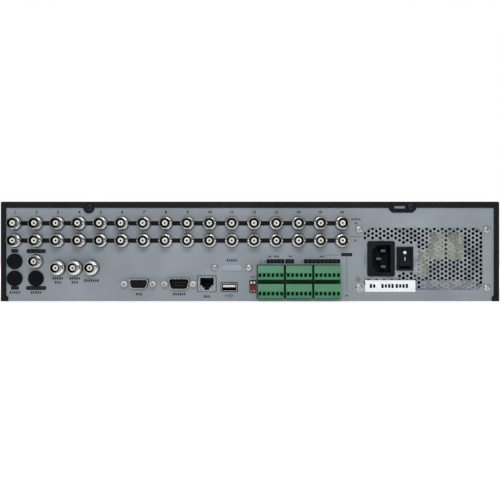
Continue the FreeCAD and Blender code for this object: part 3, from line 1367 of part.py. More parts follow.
def board_parts():
    """Chips, connectors and capacitors of the main board, and the plug to the video board."""
    chips = [on_board(x, y, size) for x, y, size in BOARD_CHIPS]
    link_x = [at_u(VIDEO_BOARD_STEP_U) + x for x in LINK_X]
    link_y = VIDEO_BOARD_Y - BOARD_T
    chips.append(box(link_x, (link_y - LINK_DEPTH, link_y), (BOARD_TOP, LINK_TOP)))
    for x, level in DATA_LINKS:
        y = SATA_Y[level]
        top = DATA_Z + HEADER_RISE
        chips.append(box(span(x, DATA_HEADER[0]), (y, y + DATA_HEADER[1]), (BOARD_TOP, top)))
    x, y, z = LOOM_END
    width, depth, rise = POWER_HEADER
    chips.append(box((x, x + width), span(y, depth), (BOARD_TOP, z + rise)))
    end_y = (KEY_LOOM_END, KEY_LOOM_END + DATA_HEADER[1])
    chips.append(box(span(LOOM_X, DATA_HEADER[0]), end_y, (BOARD_TOP, KEY_LOOM_Z + HEADER_RISE)))
    return group(chips)


def board_capacitors():
    cans = []
    radius, height, edge_r = CAPACITOR
    for x in [CAPACITOR_X + CAPACITOR_PITCH * i for i in range(CAPACITORS)]:
        can = rod(radius, (x, CAPACITOR_Y, BOARD_TOP), (x, CAPACITOR_Y, BOARD_TOP + height))
        rim = [e for e in can.Edges if e.BoundBox.ZMin > BOARD_TOP + height - TINY]
        cans.append(can.makeFillet(edge_r, rim))
    return group(cans)


def board_heatsink():
    """The finned block on the video processor."""
    x, y, size = HEATSINK
    low, high = HEATSINK_H
    base = on_board(x, y, (size, size, low))
    places = [x - size / 2 + FIN[1] * i for i in range(int(size / FIN[1]))]
    fins = [box((fx, fx + FIN[0]), span(y, size), (BOARD_TOP + low, BOARD_TOP + high)) for fx in places]
    return fuse([base, *fins])


# ================================================================ drives
DRIVE_PITCH_X = DRIVE[0] + CAGE_T
DRIVE_Z = [DRIVE_FLOOR + (DRIVE[2] + DRIVE_GAP) * i for i in range(2)]
DRIVE_X = [CAGE_START_X + CAGE_T + DRIVE_PITCH_X * i for i in range(2)]
CAGE_END_X = DRIVE_X[1] + DRIVE[0] + CAGE_T
CAGE_TOP = DRIVE_Z[1] + DRIVE[2] + CAGE_T
DRIVE_SCREWS = [
    (x, y, z + DRIVE_SCREW_RISE, side)
    for x, side in ((CAGE_START_X, -1), (CAGE_END_X, 1))
    for y in DRIVE_SCREW_Y
    for z in DRIVE_Z
]


def drive_cage():
    y = CAGE_Y
    wall_x = (CAGE_START_X, DRIVE_X[0] + DRIVE[0], CAGE_END_X - CAGE_T)
    walls = [box((x, x + CAGE_T), y, (FLOOR, CAGE_TOP)) for x in wall_x]
    roof = box((CAGE_START_X, CAGE_END_X), y, (CAGE_TOP - CAGE_T, CAGE_TOP))
    feet = [
        box((CAGE_START_X - CAGE_FOOT, CAGE_START_X + CAGE_T), y, (FLOOR, FLOOR + CAGE_T)),
        box((CAGE_END_X - CAGE_T, CAGE_END_X + CAGE_FOOT), y, (FLOOR, FLOOR + CAGE_T)),
    ]
    cutters = [
        box(span(x + DRIVE[0] / 2, CAGE_WINDOW[0]), span(row, CAGE_WINDOW[1]), (CAGE_TOP - 2, CAGE_TOP + 1))
        for x in DRIVE_X
        for row in CAGE_WINDOW_Y
    ]
    cutters += [rod(SHANK_HOLE_R, (x - 2, y, z), (x + 2, y, z)) for x, y, z, _ in DRIVE_SCREWS]
    return fuse([*walls, roof, *feet]).cut(cutters)


def hard_disk(x, z):
    """One 3.5 inch drive: its casting with a raised lid and the threaded holes in its outer side."""
    back = CAGE_Y[1]
    y = (back - DRIVE[1], back)
    rim = z + DRIVE[2] - DRIVE_LID_T
    body = rounded(box((x, x + DRIVE[0]), y, (z, rim)), DRIVE_EDGE_R, ALONG_Z)
    lid_x = (x + DRIVE_LID_INSET, x + DRIVE[0] - DRIVE_LID_INSET)
    lid_y = (y[0] + DRIVE_LID_INSET, y[1] - DRIVE_LID_REAR)
    lid = rounded(box(lid_x, lid_y, (rim - DRIVE_LID_T, z + DRIVE[2])), DRIVE_LID_R, ALONG_Z)
    holes = [
        rod(SHANK_HOLE_R, (sx - SCREW_LENGTH - 1, sy, sz), (sx + SCREW_LENGTH + 1, sy, sz))
        for sx, sy, sz, _ in DRIVE_SCREWS
    ]
    return fuse([body, lid]).cut(holes)


def hard_disks():
    return group([hard_disk(x, z) for x in DRIVE_X for z in DRIVE_Z])


def drive_screws():
    short = screw(*DRIVE_HEAD)
    return group([aim(short, (x, y, z), (side, 0, 0)) for x, y, z, side in DRIVE_SCREWS])


# ================================================================ looms
def loom(points, radius):
    """A cable: straight runs joined by tangent arcs. Prints its bend radii."""
    points = [Vector(*point) for point in points]
    edges = []
    radii = []
    start = points[0]
    for before, corner, after in zip(points, points[1:], points[2:]):
        into = corner - before
        out = after - corner
        turn = into.getAngle(out)
        setback = SETBACK * min(into.Length, out.Length)
        bend = setback / math.tan(turn / 2)
        into.normalize()
        out.normalize()
        first = corner - into * setback
        last = corner + out * setback
        inward = out - into
        inward.normalize()
        middle = corner + inward * (bend / math.cos(turn / 2) - bend)
        edges.append(Part.LineSegment(start, first).toShape())
        edges.append(Part.Arc(first, middle, last).toShape())
        radii.append(round(bend, 1))
        start = last
    edges.append(Part.LineSegment(start, points[-1]).toShape())
    path = Part.Wire(edges)
    end = Part.Wire(Part.makeCircle(radius, points[0], points[1] - points[0]))
    tube = path.makePipeShell([end], True, False)
    fill = tube.Volume / (math.pi * radius ** 2 * path.Length)
    print("loom radius", radius, "bend radii", radii, "volume against section times length", round(fill, 4))
    return tube


DATA_LINKS = [
    (x + DRIVE[0] / 2 - DATA_OFFSET[level], level) for x in DRIVE_X for level in range(2)
]


def data_cables():
    """One cable from each drive down to its header, and the one from the key board."""
    cables = []
    for x, level in DATA_LINKS:
        z = DRIVE_Z[level] + DRIVE[2] / 2
        end = SATA_Y[level]
        start = CAGE_Y[1]
        reach = (end - start) / 3
        route = [(x, start, z), (x, start + reach, z), (x, end - reach / 2, DATA_Z), (x, end, DATA_Z)]
        cables.append(loom(route, DATA_R))
    route = [
        (LOOM_X, KEY_BOARD_Y + BOARD_T, LOOM_Z), (LOOM_X, LOOM_TURNS_Y[0], LOOM_Z),
        (LOOM_X, LOOM_TURNS_Y[1], KEY_LOOM_Z), (LOOM_X, KEY_LOOM_END, KEY_LOOM_Z),
    ]
    cables.append(loom(route, LOOM_R))
    return group(cables)


def power_cables():
    """One cable from the power supply to each drive, and one to the main board."""
    cables = []
    out_y = PSU_SPAN_Y[0]
    for index, drive_x in enumerate(DRIVE_X):
        for level in range(2):
            z = POWER_LEVELS[level]
            lane = POWER_LANE + POWER_LANE_STEP * index
            out_x = PSU_SPAN_X[1] - POWER_EXIT[index]
            end_x = drive_x + DRIVE[0] / 2 + POWER_OFFSET[level]
            end_z = DRIVE_Z[level] + DRIVE[2] / 2
            cables.append(loom([
                (out_x, out_y, z), (out_x, POWER_TURN_Y, z), (out_x + 27, lane, z),
                (end_x - 20, lane, z),
                (end_x, lane - 2, end_z), (end_x, CAGE_Y[1], end_z),
            ], POWER_LOOM_R))
    x, y, z = LOOM_END
    route = [(x - 51, out_y, z), (x - 51, y + 16, z), (x - 26, y, z), (x, y, z)]
    cables.append(loom(route, POWER_LOOM_R))
    return group(cables)


# ================================================================ fascia
def key_places():
    """Centre of every rectangular key, by node name."""
    step_x, step_z = NAV_STEP
    return {
        "key_up": (NAV_X, NAV_Z + step_z),
        "key_down": (NAV_X, NAV_Z - step_z),
        "key_left": (NAV_X - step_x, NAV_Z),
        "key_right": (NAV_X + step_x, NAV_Z),
        "key_enter": (NAV_X, NAV_Z),
        "menu_key": (MENU_X, MENU_Z[0]),
        "play_key": (MENU_X, MENU_Z[1]),
    }


def fascia_openings():
    """Cutters for everything that shows through the fascia."""
    y = (FRONT - 1, FRONT + FASCIA_T + 1)
    frame = WINDOW_LEDGE
    pocket_y = (FRONT - 1, FRONT + WINDOW_T)
    cutters = [
        box(WINDOW_X, pocket_y, WINDOW_Z),
        box((WINDOW_X[0] + frame, WINDOW_X[1] - frame), y, (WINDOW_Z[0] + frame, WINDOW_Z[1] - frame)),
        rod_y(POWER_R + KEY_GAP, POWER_X, POWER_Z, y),
        rod_y(SHUTTLE_NECK_R + NECK_CLEAR, JOG_X, JOG_Z, y),
    ]
    cutters += [rod_y(LED_R, x, LED_Z, y) for x in LED_X]
    usb_x = span(FRONT_USB_X, USB_SIZE[0] + 2 * LAN_HOLE_GAP)
    cutters.append(box(usb_x, y, span(FRONT_USB_Z, USB_SIZE[1] + 2 * LAN_HOLE_GAP)))
    slots = [GRILLE_Z + GRILLE_PITCH * i for i in range(GRILLE_ROWS)]
    cutters += [box(GRILLE_X, y, span(z, GRILLE_SLOT_H)) for z in slots]
    for x, z in key_places().values():
        key_x = span(x, KEY_SIZE[0] + 2 * KEY_GAP)
        cutters.append(box(key_x, y, span(z, KEY_SIZE[1] + 2 * KEY_GAP)))
    return cutters


def front_fascia():
    half = WIDTH / 2
    block = box((-half, half), (FRONT, CASE_FRONT), (0, HEIGHT))
    block = rounded(block, BEND_R, ALONG_Y)
    rim = [e for e in block.Edges if e.BoundBox.YMax < FRONT + TINY]
    block = block.makeFillet(FASCIA_R / 2, rim)
    hollow_y = (FRONT + FASCIA_T, CASE_FRONT + 1)
    inside = box((FASCIA_T - half, half - FASCIA_T), hollow_y, (FASCIA_T, HEIGHT - FASCIA_T))
    body = block.cut(inside)
    bosses = [rod_y(BOSS_R, x, z, (FRONT + FASCIA_T, CASE_FRONT)) for x, z in FASCIA_BOSSES]
    thread_y = (CASE_FRONT - SCREW_LENGTH, CASE_FRONT + 1)
    cutters = [rod_y(SHANK_R, x, z, thread_y) for x, z in FASCIA_BOSSES]
    return fuse([body, *bosses]).cut(cutters + fascia_openings())


def fascia_window():
    fit = LID_GAP / 2
    x = (WINDOW_X[0] + fit, WINDOW_X[1] - fit)
    return box(x, (FRONT, FRONT + WINDOW_T), (WINDOW_Z[0] + fit, WINDOW_Z[1] - fit))


def display_module():
    """The numeric display behind the window, on its block down to the key board."""
    width, height, thick = DISPLAY
    x, z = sum(WINDOW_X) / 2, sum(WINDOW_Z) / 2
    front = FRONT + FASCIA_T + 1
    head = box(span(x, width), (front, front + thick), span(z, height))
    stalk = box(span(x, width - 8), (front + thick, KEY_BOARD_Y), span(z, height - 6))
    return fuse([head, stalk])


def status_leds():
    """Light pipes from the key board to the fascia."""
    y = (FRONT - LED_PROUD, KEY_BOARD_Y)
    return group([rod_y(LED_R - LED_CLEAR, x, LED_Z, y) for x in LED_X])


def front_key_board():
    """The board behind the fascia, open behind the air slots and notched for the loom."""
    y = (KEY_BOARD_Y, KEY_BOARD_Y + BOARD_T)
    top = GRILLE_Z + GRILLE_PITCH * GRILLE_ROWS
    hole = outline(rectangle((GRILLE_X[0] - 4, GRILLE_X[1] + 4), (GRILLE_Z - 3, top)), y[0])
    return plate(rectangle(KEY_BOARD_X, KEY_BOARD_Z), y, [hole])


def tact_switches():
    size, thick = TACT
    places = [*key_places().values(), (POWER_X, POWER_Z)]
    y = (KEY_BOARD_Y - thick, KEY_BOARD_Y)
    return group([box(span(x, size), y, span(z, size)) for x, z in places])


def key_layers():
    """The Y pairs of a key's cap, skirt and stem."""
    inner = FRONT + FASCIA_T + LID_GAP / 2
    cap = (FRONT - KEY_REACH, inner)
    skirt = (inner, inner + KEY_SKIRT_T)
    stem = (inner + KEY_SKIRT_T, KEY_BOARD_Y - TACT[1] - KEY_TRAVEL)
    return cap, skirt, stem


def key(x, z):
    cap_y, skirt_y, stem_y = key_layers()
    cap = box(span(x, KEY_SIZE[0]), cap_y, span(z, KEY_SIZE[1]))
    cap = cap.makeFillet(KEY_EDGE_R, [e for e in cap.Edges if e.BoundBox.YMin < cap_y[0] + TINY])
    grown = 2 * (KEY_SKIRT + KEY_GAP)
    skirt = box(span(x, KEY_SIZE[0] + grown), skirt_y, span(z, KEY_SIZE[1] + grown))
    return fuse([cap, skirt, rod_y(KEY_STEM_R, x, z, stem_y)])


def power_button():
    cap_y, skirt_y, stem_y = key_layers()
    cap = rod_y(POWER_R, POWER_X, POWER_Z, cap_y)
    cap = cap.makeFillet(KEY_EDGE_R, [e for e in cap.Edges if e.BoundBox.YMax < cap_y[0] + TINY])
    skirt = rod_y(POWER_R + KEY_GAP + KEY_SKIRT, POWER_X, POWER_Z, skirt_y)
    return fuse([cap, skirt, rod_y(KEY_STEM_R, POWER_X, POWER_Z, stem_y)])


def jog_bush():
    """The fixed sleeve on the key board that carries the jog shaft."""
    top = FRONT - SHUTTLE_REACH + JOG_RECESS + JOG_GAP
    sleeve = rod_y(BUSH_R, JOG_X, JOG_Z, (top, KEY_BOARD_Y))
    return sleeve.cut(rod_y(JOG_SHAFT_R + RUN_CLEAR, JOG_X, JOG_Z, (top - 1, KEY_BOARD_Y + 1)))


def jog_dial():
    """The free-turning inner dial with its finger dimple."""
    front = FRONT - JOG_REACH
    back = FRONT - SHUTTLE_REACH + JOG_RECESS - JOG_GAP / 2
    knob = rod_y(JOG_R, JOG_X, JOG_Z, (front, back))
    knob = knob.makeFillet(JOG_EDGE_R, [e for e in knob.Edges if e.BoundBox.YMax < front + TINY])
    shaft = rod_y(JOG_SHAFT_R, JOG_X, JOG_Z, (back, KEY_BOARD_Y - 1))
    ball_y = front - DIMPLE_R + DIMPLE_DEPTH
    dimple = Part.makeSphere(DIMPLE_R, Vector(JOG_X, ball_y, JOG_Z + JOG_R * DIMPLE_PLACE))
    return fuse([knob, shaft]).cut(dimple)


def shuttle_ring():
    """The spring-return outer ring: a disc on a neck through the fascia, held by a clip behind it."""
    front = FRONT - SHUTTLE_REACH
    disc = rod_y(SHUTTLE_R, JOG_X, JOG_Z, (front, FRONT - LID_GAP))
    disc = disc.makeFillet(SHUTTLE_EDGE_R, [e for e in disc.Edges if e.BoundBox.YMax < front + TINY])
    inner = FRONT + FASCIA_T + LID_GAP
    neck = rod_y(SHUTTLE_NECK_R, JOG_X, JOG_Z, (FRONT - LID_GAP, inner + NECK_END))
    clip = rod_y(CLIP_R, JOG_X, JOG_Z, (inner, inner + CLIP_T))
    recess = rod_y(JOG_R + JOG_GAP, JOG_X, JOG_Z, (front - 1, front + JOG_RECESS))
    bore = rod_y(SLEEVE_R, JOG_X, JOG_Z, (front - 1, inner + NECK_END + 1))
    return fuse([disc, neck, clip]).cut([recess, bore])


def fascia_screws():
    """Screws from inside the case into the fascia's bosses."""
    seat = CASE_FRONT + CHASSIS_T
    return group([aim(screw(), (x, seat, z), (0, 1, 0)) for x, z in FASCIA_BOSSES])


def ac_label():
    """A plain sticker across the lower edge of the power supply's window."""
    x = (at_u(LABEL_U[1]), at_u(LABEL_U[0]))
    return box(x, (PANEL_Y, PANEL_Y + LABEL_T), LABEL_Z)


# ================================================================ the assembly
def assembly():
    """Every node's shape, by name."""
    usb_shells, usb_tongues = usb_ports()
    nodes = {
        "base_chassis": base_chassis(),
        "top_cover": top_cover(),
        "rear_panel": rear_panel(),
        "cover_screws": cover_screws(),
        "panel_screws": group([panel_screws(), ground_screw()]),
        "bnc_shells": group([bnc_shell(place) for place in BNC_PLACES]),
        "bnc_insulators": group([bnc_insulator(place) for place in BNC_PLACES]),
        "signal_contacts": group([*(bnc_contact(place) for place in BNC_PLACES), serial_pins()]),
        "bnc_housings": bnc_housings(),
        "blank_plugs": group([blank_plug(place) for place in CAP_PLACES]),
        "port_shells": group([
            dsub_shell(DSUB_X[0], DSUB_SHELL), dsub_shell(DSUB_X[1], SERIAL_SHELL), usb_shells,
        ]),
        "port_inserts": group([dsub_inserts(), usb_tongues]),
        "jackscrews": group([jackscrew(x) for x in JACKSCREW_X]),
        "lan_jack": lan_jack(),
        "blanking_plate": blanking_plate(),
        "dip_switch_body": dip_switch_body(),
        "terminal_headers": group([terminal_header(column) for column in range(STRIP_COLUMNS)]),
        "psu_case": psu_case(),
        "psu_cover": psu_cover(),
        "psu_board": group([psu_board(), psu_barrier(), psu_heatsinks()]),
        "psu_windings": psu_windings(),
        "fan_frames": group([
            aim(fan_frame(*PSU_FAN), *PSU_FAN_PLACE), aim(fan_frame(*CASE_FAN), *CASE_FAN_PLACE),
        ]),
        "psu_fan_rotor": aim(fan_rotor(*PSU_FAN), *PSU_FAN_PLACE),
        "ac_inlet": ac_inlet(),
        "ac_inlet_pins": ac_inlet_pins(),
        "ac_label": ac_label(),
        "switch_frame": switch_frame(),
        "power_rocker": power_rocker(),
        "case_fan_rotor": aim(fan_rotor(*CASE_FAN), *CASE_FAN_PLACE),
        "main_board": main_board(),
        "video_board": video_board(),
        "board_parts": group([board_parts(), board_capacitors(), board_heatsink()]),
        "standoffs": standoffs(),
        "inner_screws": group([board_screws(), drive_screws(), fascia_screws()]),
        "drive_cage": drive_cage(),
        "hard_disks": hard_disks(),
        "looms": group([data_cables(), power_cables()]),
        "front_fascia": front_fascia(),
        "fascia_window": fascia_window(),
        "status_lights": group([display_module(), status_leds()]),
        "front_key_board": group([front_key_board(), tact_switches()]),
        "power_button": power_button(),
        "jog_bush": jog_bush(),
        "jog_dial": jog_dial(),
        "shuttle_ring": shuttle_ring(),
    }
    for index, x in enumerate(reversed(DIP_SLOT_X)):
        nodes[f"dip_slider_{index + 1}"] = dip_slider(x)
    for index, (column, level) in enumerate(PLUG_PLACES):
        nodes[f"terminal_plug_{index + 1}"] = terminal_plug(column, level)
    for name, (x, z) in key_places().items():
        nodes[name] = key(x, z)
    return nodes


def main():
    os.makedirs("parts", exist_ok=True)
    for name, shape in assembly().items():
        if not shape.isValid():
            print("not valid:", name)
        shape.exportStep(f"parts/{name}.step")
        print(name, len(shape.Solids), round(shape.Volume, 1))


main()
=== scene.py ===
"""Looks for a two-unit rack recorder seen from its connector side.

The CAD nodes keep their shapes and get procedural finishes. Printing, labels, contacts and small
trim are extra pieces, placed from the boxes of the CAD nodes that they belong to.
"""

import json
import math

import bmesh
import bpy
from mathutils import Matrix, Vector
from mathutils.bvhtree import BVHTree


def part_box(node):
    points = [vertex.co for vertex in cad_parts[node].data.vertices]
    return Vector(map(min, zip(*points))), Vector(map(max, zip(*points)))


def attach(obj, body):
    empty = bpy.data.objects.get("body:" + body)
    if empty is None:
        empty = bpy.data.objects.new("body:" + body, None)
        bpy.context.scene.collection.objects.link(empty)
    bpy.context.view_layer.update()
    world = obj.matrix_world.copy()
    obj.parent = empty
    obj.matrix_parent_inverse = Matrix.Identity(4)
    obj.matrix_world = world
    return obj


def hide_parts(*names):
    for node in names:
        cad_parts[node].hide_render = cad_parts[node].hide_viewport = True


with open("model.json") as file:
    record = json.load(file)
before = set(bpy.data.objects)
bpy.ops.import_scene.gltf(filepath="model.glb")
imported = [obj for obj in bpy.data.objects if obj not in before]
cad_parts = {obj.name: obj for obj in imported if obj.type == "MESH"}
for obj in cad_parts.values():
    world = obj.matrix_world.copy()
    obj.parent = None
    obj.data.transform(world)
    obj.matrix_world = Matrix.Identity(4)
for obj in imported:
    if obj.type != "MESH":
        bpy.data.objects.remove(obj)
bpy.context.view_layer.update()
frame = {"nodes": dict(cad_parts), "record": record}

MM = 0.001
CASE = "recorder"
REAR = Vector((0, 1, 0))
FRONT = Vector((0, -1, 0))
INK = 0.04 * MM                    # how far printing stands off its surface

# ---------------------------------------------------------------- camera and light
CAMERA_DISTANCE = 815 * MM         # from the connector panel
CAMERA_HEIGHT = 45.3 * MM
LENS = 66.4
PAGE_WHITE = 1.0
SKY = ((0.0, 0.05), (0.49, 0.05), (0.56, 0.09), (0.75, 0.42), (1.0, 0.70))
FLOOR_HALF = 6.0
FLOOR_DROP = 0.02 * MM             # keeps the floor clear of the feet's underside
FLOOR_GLOW = 0.5
LAMPS = (                          # name, place, target, size and power
    ("key_light", (0.0, 1.10, 0.46), (0, 0.19, 0.04), (0.42, 0.22), 3.5),
    ("back_light", (0.2, -1.2, 1.2), (0, -0.1, 0.05), (1.4, 0.8), 9),
)

# ---------------------------------------------------------------- printing
CAPTION = 2.4 * MM                 # letter heights
SMALL_PRINT = 1.9 * MM
SUPPLY_PRINT = 3.6 * MM
NUMERAL = 3.5 * MM
NUMERAL_RISE = 9.8 * MM            # above the middle of a socket
CHANNEL_BAR = 4.0 * MM
CHANNEL_BAR_OVERLAP = 1.2 * MM     # how far a bar runs under the sockets, in all
RULE = 0.3 * MM                    # width of a printed line
LINE_CAPTIONS = ((5, 3), (5, 3), (7,))    # letters in each line under the three larger sockets
LINE_CAPTION_DROP = {1: 11.3 * MM, 2: 9.4 * MM}    # to the first line, by the number of lines
LINE_CAPTION_PITCH = 3.5 * MM
DATA_CAPTIONS = (3, 6)             # letters under the display and serial ports
DATA_CAPTION_DROP = 9.1 * MM
LAN_CAPTION_DROP = 4.4 * MM
BLANK_CAPTION_RISE = 6.6 * MM
DIP_CAPTION_RISE = 8.2 * MM
DIP_PRINT = 1.5 * MM
ROW_PRINT = 1.7 * MM               # at the end of the channel rows
ROW_PRINT_SHIFT = (12.6 * MM, 12.0 * MM)
ROW_PRINT_RISE = 3.6 * MM
AUDIO_CAPTION_DROP = 12.4 * MM
NARROW_TAG = (6.0 * MM, 3.2 * MM)  # widths and heights of the audio tags
NARROW_LOW_TAG = (7.0 * MM, 3.0 * MM)
WIDE_TAG = (17.0 * MM, 3.5 * MM)
WIDE_LOW_TAG = (18.0 * MM, 3.5 * MM)
WIDE_TAG_CUT = 0.9 * MM            # cut off its corners
AUDIO_TAG_DROP = 8.5 * MM
NARROW_TAG_RISE = 9.2 * MM
WIDE_TAG_RISE = 9.0 * MM
TERMINAL_TAGS = ((8.6, 24.4, 4), (25.1, 33.0, 2), (41.7, 73.8, 8))    # start, end in mm and marks
TERMINAL_TAG_HEIGHT = 3.8 * MM
TERMINAL_WORDS = ((11.6, 2), (17.4, 3), (29.8, 2), (57.6, 3))         # place in mm and letters
TERMINAL_LETTERS = (3.6, 7.0, 40.4)


# ================================================================ colour and nodes
def tone(red, green, blue, gain=1.0):
    """A linear colour from display values of 0 to 255."""
    shares = [channel / 255 for channel in (red, green, blue)]
    linear = [s / 12.92 if s <= 0.04045 else ((s + 0.055) / 1.055) ** 2.4 for s in shares]
    return tuple(channel * gain for channel in linear) + (1.0,)


class Tree:
    """A material's node tree, with short calls to add and link nodes."""

    def __init__(self, name):
        self.material = bpy.data.materials.new(name)
        self.material.use_nodes = True
        self.nodes = self.material.node_tree.nodes
        self.links = self.material.node_tree.links
        self.shader = self.nodes["Principled BSDF"]
        self.place = self.nodes.new("ShaderNodeTexCoord").outputs["Object"]

    def add(self, kind, inputs=(), **settings):
        node = self.nodes.new(kind)
        for key, value in settings.items():
            setattr(node, key, value)
        for socket, value in dict(inputs).items():
            self.feed(node.inputs[socket], value)
        return node

    def feed(self, socket, value):
        if isinstance(value, bpy.types.NodeSocket):
            self.links.new(value, socket)
        else:
            socket.default_value = value

    def stretched(self, scale):
        """Object coordinates, scaled differently along each axis."""
        return self.add("ShaderNodeMapping", {"Vector": self.place, "Scale": scale}).outputs["Vector"]

    def noise(self, scale, detail=3.0, place=None):
        inputs = {"Vector": place or self.place, "Scale": scale, "Detail": detail}
        return self.add("ShaderNodeTexNoise", inputs).outputs["Fac"]

    def cells(self, scale, output="Distance"):
        inputs = {"Vector": self.place, "Scale": scale}
        return self.add("ShaderNodeTexVoronoi", inputs).outputs[output]

    def waves(self, scale, axis, distortion=0.0):
        inputs = {"Vector": self.place, "Scale": scale, "Distortion": distortion}
        return self.add("ShaderNodeTexWave", inputs, bands_direction=axis).outputs["Fac"]

    def ramp(self, factor, stops):
        node = self.add("ShaderNodeValToRGB", {"Fac": factor})
        elements = node.color_ramp.elements
        while len(elements) < len(stops):
            elements.new(0.5)
        for element, (position, colour) in zip(elements, stops):
            element.position = position
            element.color = colour
        return node.outputs["Color"]

    def mix(self, factor, first, second, blend="MIX"):
        node = self.add("ShaderNodeMix", data_type="RGBA", blend_type=blend)
        colours = [socket for socket in node.inputs if socket.type == "RGBA"]
        self.feed(node.inputs["Factor"], factor)
        self.feed(colours[0], first)
        self.feed(colours[1], second)
        return [socket for socket in node.outputs if socket.type == "RGBA"][0]

    def between(self, factor, low, high, start=0.3, end=0.7):
        """Maps a factor's middle range onto low to high."""
        inputs = {"Value": factor, "From Min": start, "From Max": end, "To Min": low, "To Max": high}
        return self.add("ShaderNodeMapRange", inputs).outputs["Result"]

    def sum(self, first, second, share):
        inputs = {0: second, 1: share, 2: first}
        return self.add("ShaderNodeMath", inputs, operation="MULTIPLY_ADD").outputs[0]

    def bump(self, height, depth):
        """Relief of the given depth in metres."""
        node = self.add("ShaderNodeBump", {"Height": height, "Strength": 1.0, "Distance": depth})
        self.feed(self.shader.inputs["Normal"], node.outputs["Normal"])

    def set(self, **values):
        for socket, value in values.items():
            self.feed(self.shader.inputs[socket.replace("_", " ")], value)


def enamel(name, dark, light, grain, rough, depth, coat=0.0, gloss=0.5):
    """Baked paint: cloudy colour, and the fine pimples of a powder coat."""
    tree = Tree(name)
    cloud = tree.noise(22.0, 4.0)
    fleck = tree.noise(grain, 2.0)
    colour = tree.ramp(tree.sum(cloud, fleck, 0.45), [(0.45, dark), (0.95, light)])
    tree.set(Base_Color=colour, Roughness=tree.between(fleck, *rough))
    tree.shader.inputs["Coat Weight"].default_value = coat
    tree.shader.inputs["Specular IOR Level"].default_value = gloss
    tree.bump(tree.sum(tree.cells(grain), fleck, 0.6), depth)
    return tree.material


def plated(name, dark, light, rough, scratch=(900.0, 900.0, 900.0), depth=0.004 * MM):
    """Plated or turned metal, with fine marks along one direction."""
    tree = Tree(name)
    lines = tree.noise(1.0, 3.0, tree.stretched(scratch))
    bloom = tree.noise(140.0, 3.0)
    colour = tree.ramp(tree.sum(bloom, lines, 0.4), [(0.4, dark), (0.95, light)])
    tree.set(Base_Color=colour, Metallic=1.0, Roughness=tree.between(lines, *rough))
    tree.bump(lines, depth)
    return tree.material


def spangled(name, dark, light, size, rough):
    """Zinc coated sheet: crystals of differing lightness under a grain of rolling marks."""
    tree = Tree(name)
    crystals = tree.cells(size, output="Color")
    rolling = tree.noise(1.0, 3.0, tree.stretched((60.0, 900.0, 900.0)))
    grey = tree.add("ShaderNodeRGBToBW", {"Color": crystals}).outputs["Val"]
    colour = tree.ramp(tree.sum(grey, rolling, 0.5), [(0.35, dark), (1.0, light)])
    tree.set(Base_Color=colour, Metallic=0.85, Roughness=tree.between(grey, *rough))
    tree.bump(rolling, 0.01 * MM)
    return tree.material


def moulded(name, dark, light, rough, grain=1600.0, depth=0.02 * MM, subsurface=0.0, coat=0.0, gloss=0.5):
    """Moulded plastic: slight flow marks in the colour, and a spark-eroded texture."""
    tree = Tree(name)
    flow = tree.noise(45.0, 3.0, tree.stretched((1.0, 1.0, 2.2)))
    texture = tree.noise(grain, 2.0)
    colour = tree.ramp(tree.sum(flow, texture, 0.3), [(0.4, dark), (0.9, light)])
    tree.set(Base_Color=colour, Roughness=tree.between(texture, *rough))
    tree.shader.inputs["Coat Weight"].default_value = coat
    tree.shader.inputs["Specular IOR Level"].default_value = gloss
    tree.shader.inputs["Subsurface Weight"].default_value = subsurface
    tree.shader.inputs["Subsurface Scale"].default_value = MM
    tree.bump(texture, depth)
    return tree.material


def circuit(name, mask, copper, track):
    """A circuit board: solder mask over tracks that run in two directions, with pads between."""
    tree = Tree(name)
    across = tree.waves(track, "X")
    along = tree.waves(track * 0.8, "Y")
    area = tree.cells(60.0, output="Color")
    choice = tree.add("ShaderNodeRGBToBW", {"Color": area}).outputs["Val"]
    lines = tree.mix(tree.between(choice, 0.0, 1.0, 0.45, 0.55), across, along)
    pads = tree.ramp(tree.cells(420.0), [(0.10, (1, 1, 1, 1)), (0.16, (0, 0, 0, 1))])
    shade = tree.mix(tree.ramp(lines, [(0.55, (0, 0, 0, 1)), (0.65, (1, 1, 1, 1))]), mask, copper)
    colour = tree.mix(pads, shade, tone(196, 190, 160))
    tree.set(Base_Color=colour, Roughness=tree.between(choice, 0.28, 0.4))
    tree.bump(lines, 0.03 * MM)
    return tree.material


def taped(name, dark, light):
    """Transformer windings under overlapping turns of translucent tape."""
    tree = Tree(name)
    turns = tree.waves(95.0, "Z", 2.5)
    creases = tree.noise(260.0, 4.0, tree.stretched((1.0, 1.0, 3.0)))
    colour = tree.ramp(tree.sum(creases, turns, 0.35), [(0.35, dark), (0.85, light)])
    tree.set(Base_Color=colour, Roughness=tree.between(creases, 0.25, 0.45))
    tree.bump(tree.sum(creases, turns, 0.5), 0.15 * MM)
    return tree.material


def paper(name, dark, light):
    """Coated label stock, with a faint fibre."""
    tree = Tree(name)
    fibre = tree.noise(1.0, 5.0, tree.stretched((900.0, 900.0, 300.0)))
    colour = tree.ramp(fibre, [(0.3, dark), (0.7, light)])
    tree.set(Base_Color=colour, Roughness=tree.between(fibre, 0.4, 0.6))
    tree.bump(fibre, 0.01 * MM)
    return tree.material


def wires(name, dark, light):
    """A cable bundle: strands twisted together under a jacket."""
    tree = Tree(name)
    strands = tree.waves(260.0, "DIAGONAL", 1.5)
    scuff = tree.noise(300.0, 3.0)
    colour = tree.ramp(tree.sum(scuff, strands, 0.4), [(0.4, dark), (0.9, light)])
    tree.set(Base_Color=colour, Roughness=tree.between(scuff, 0.4, 0.6))
    tree.bump(strands, 0.12 * MM)
    return tree.material


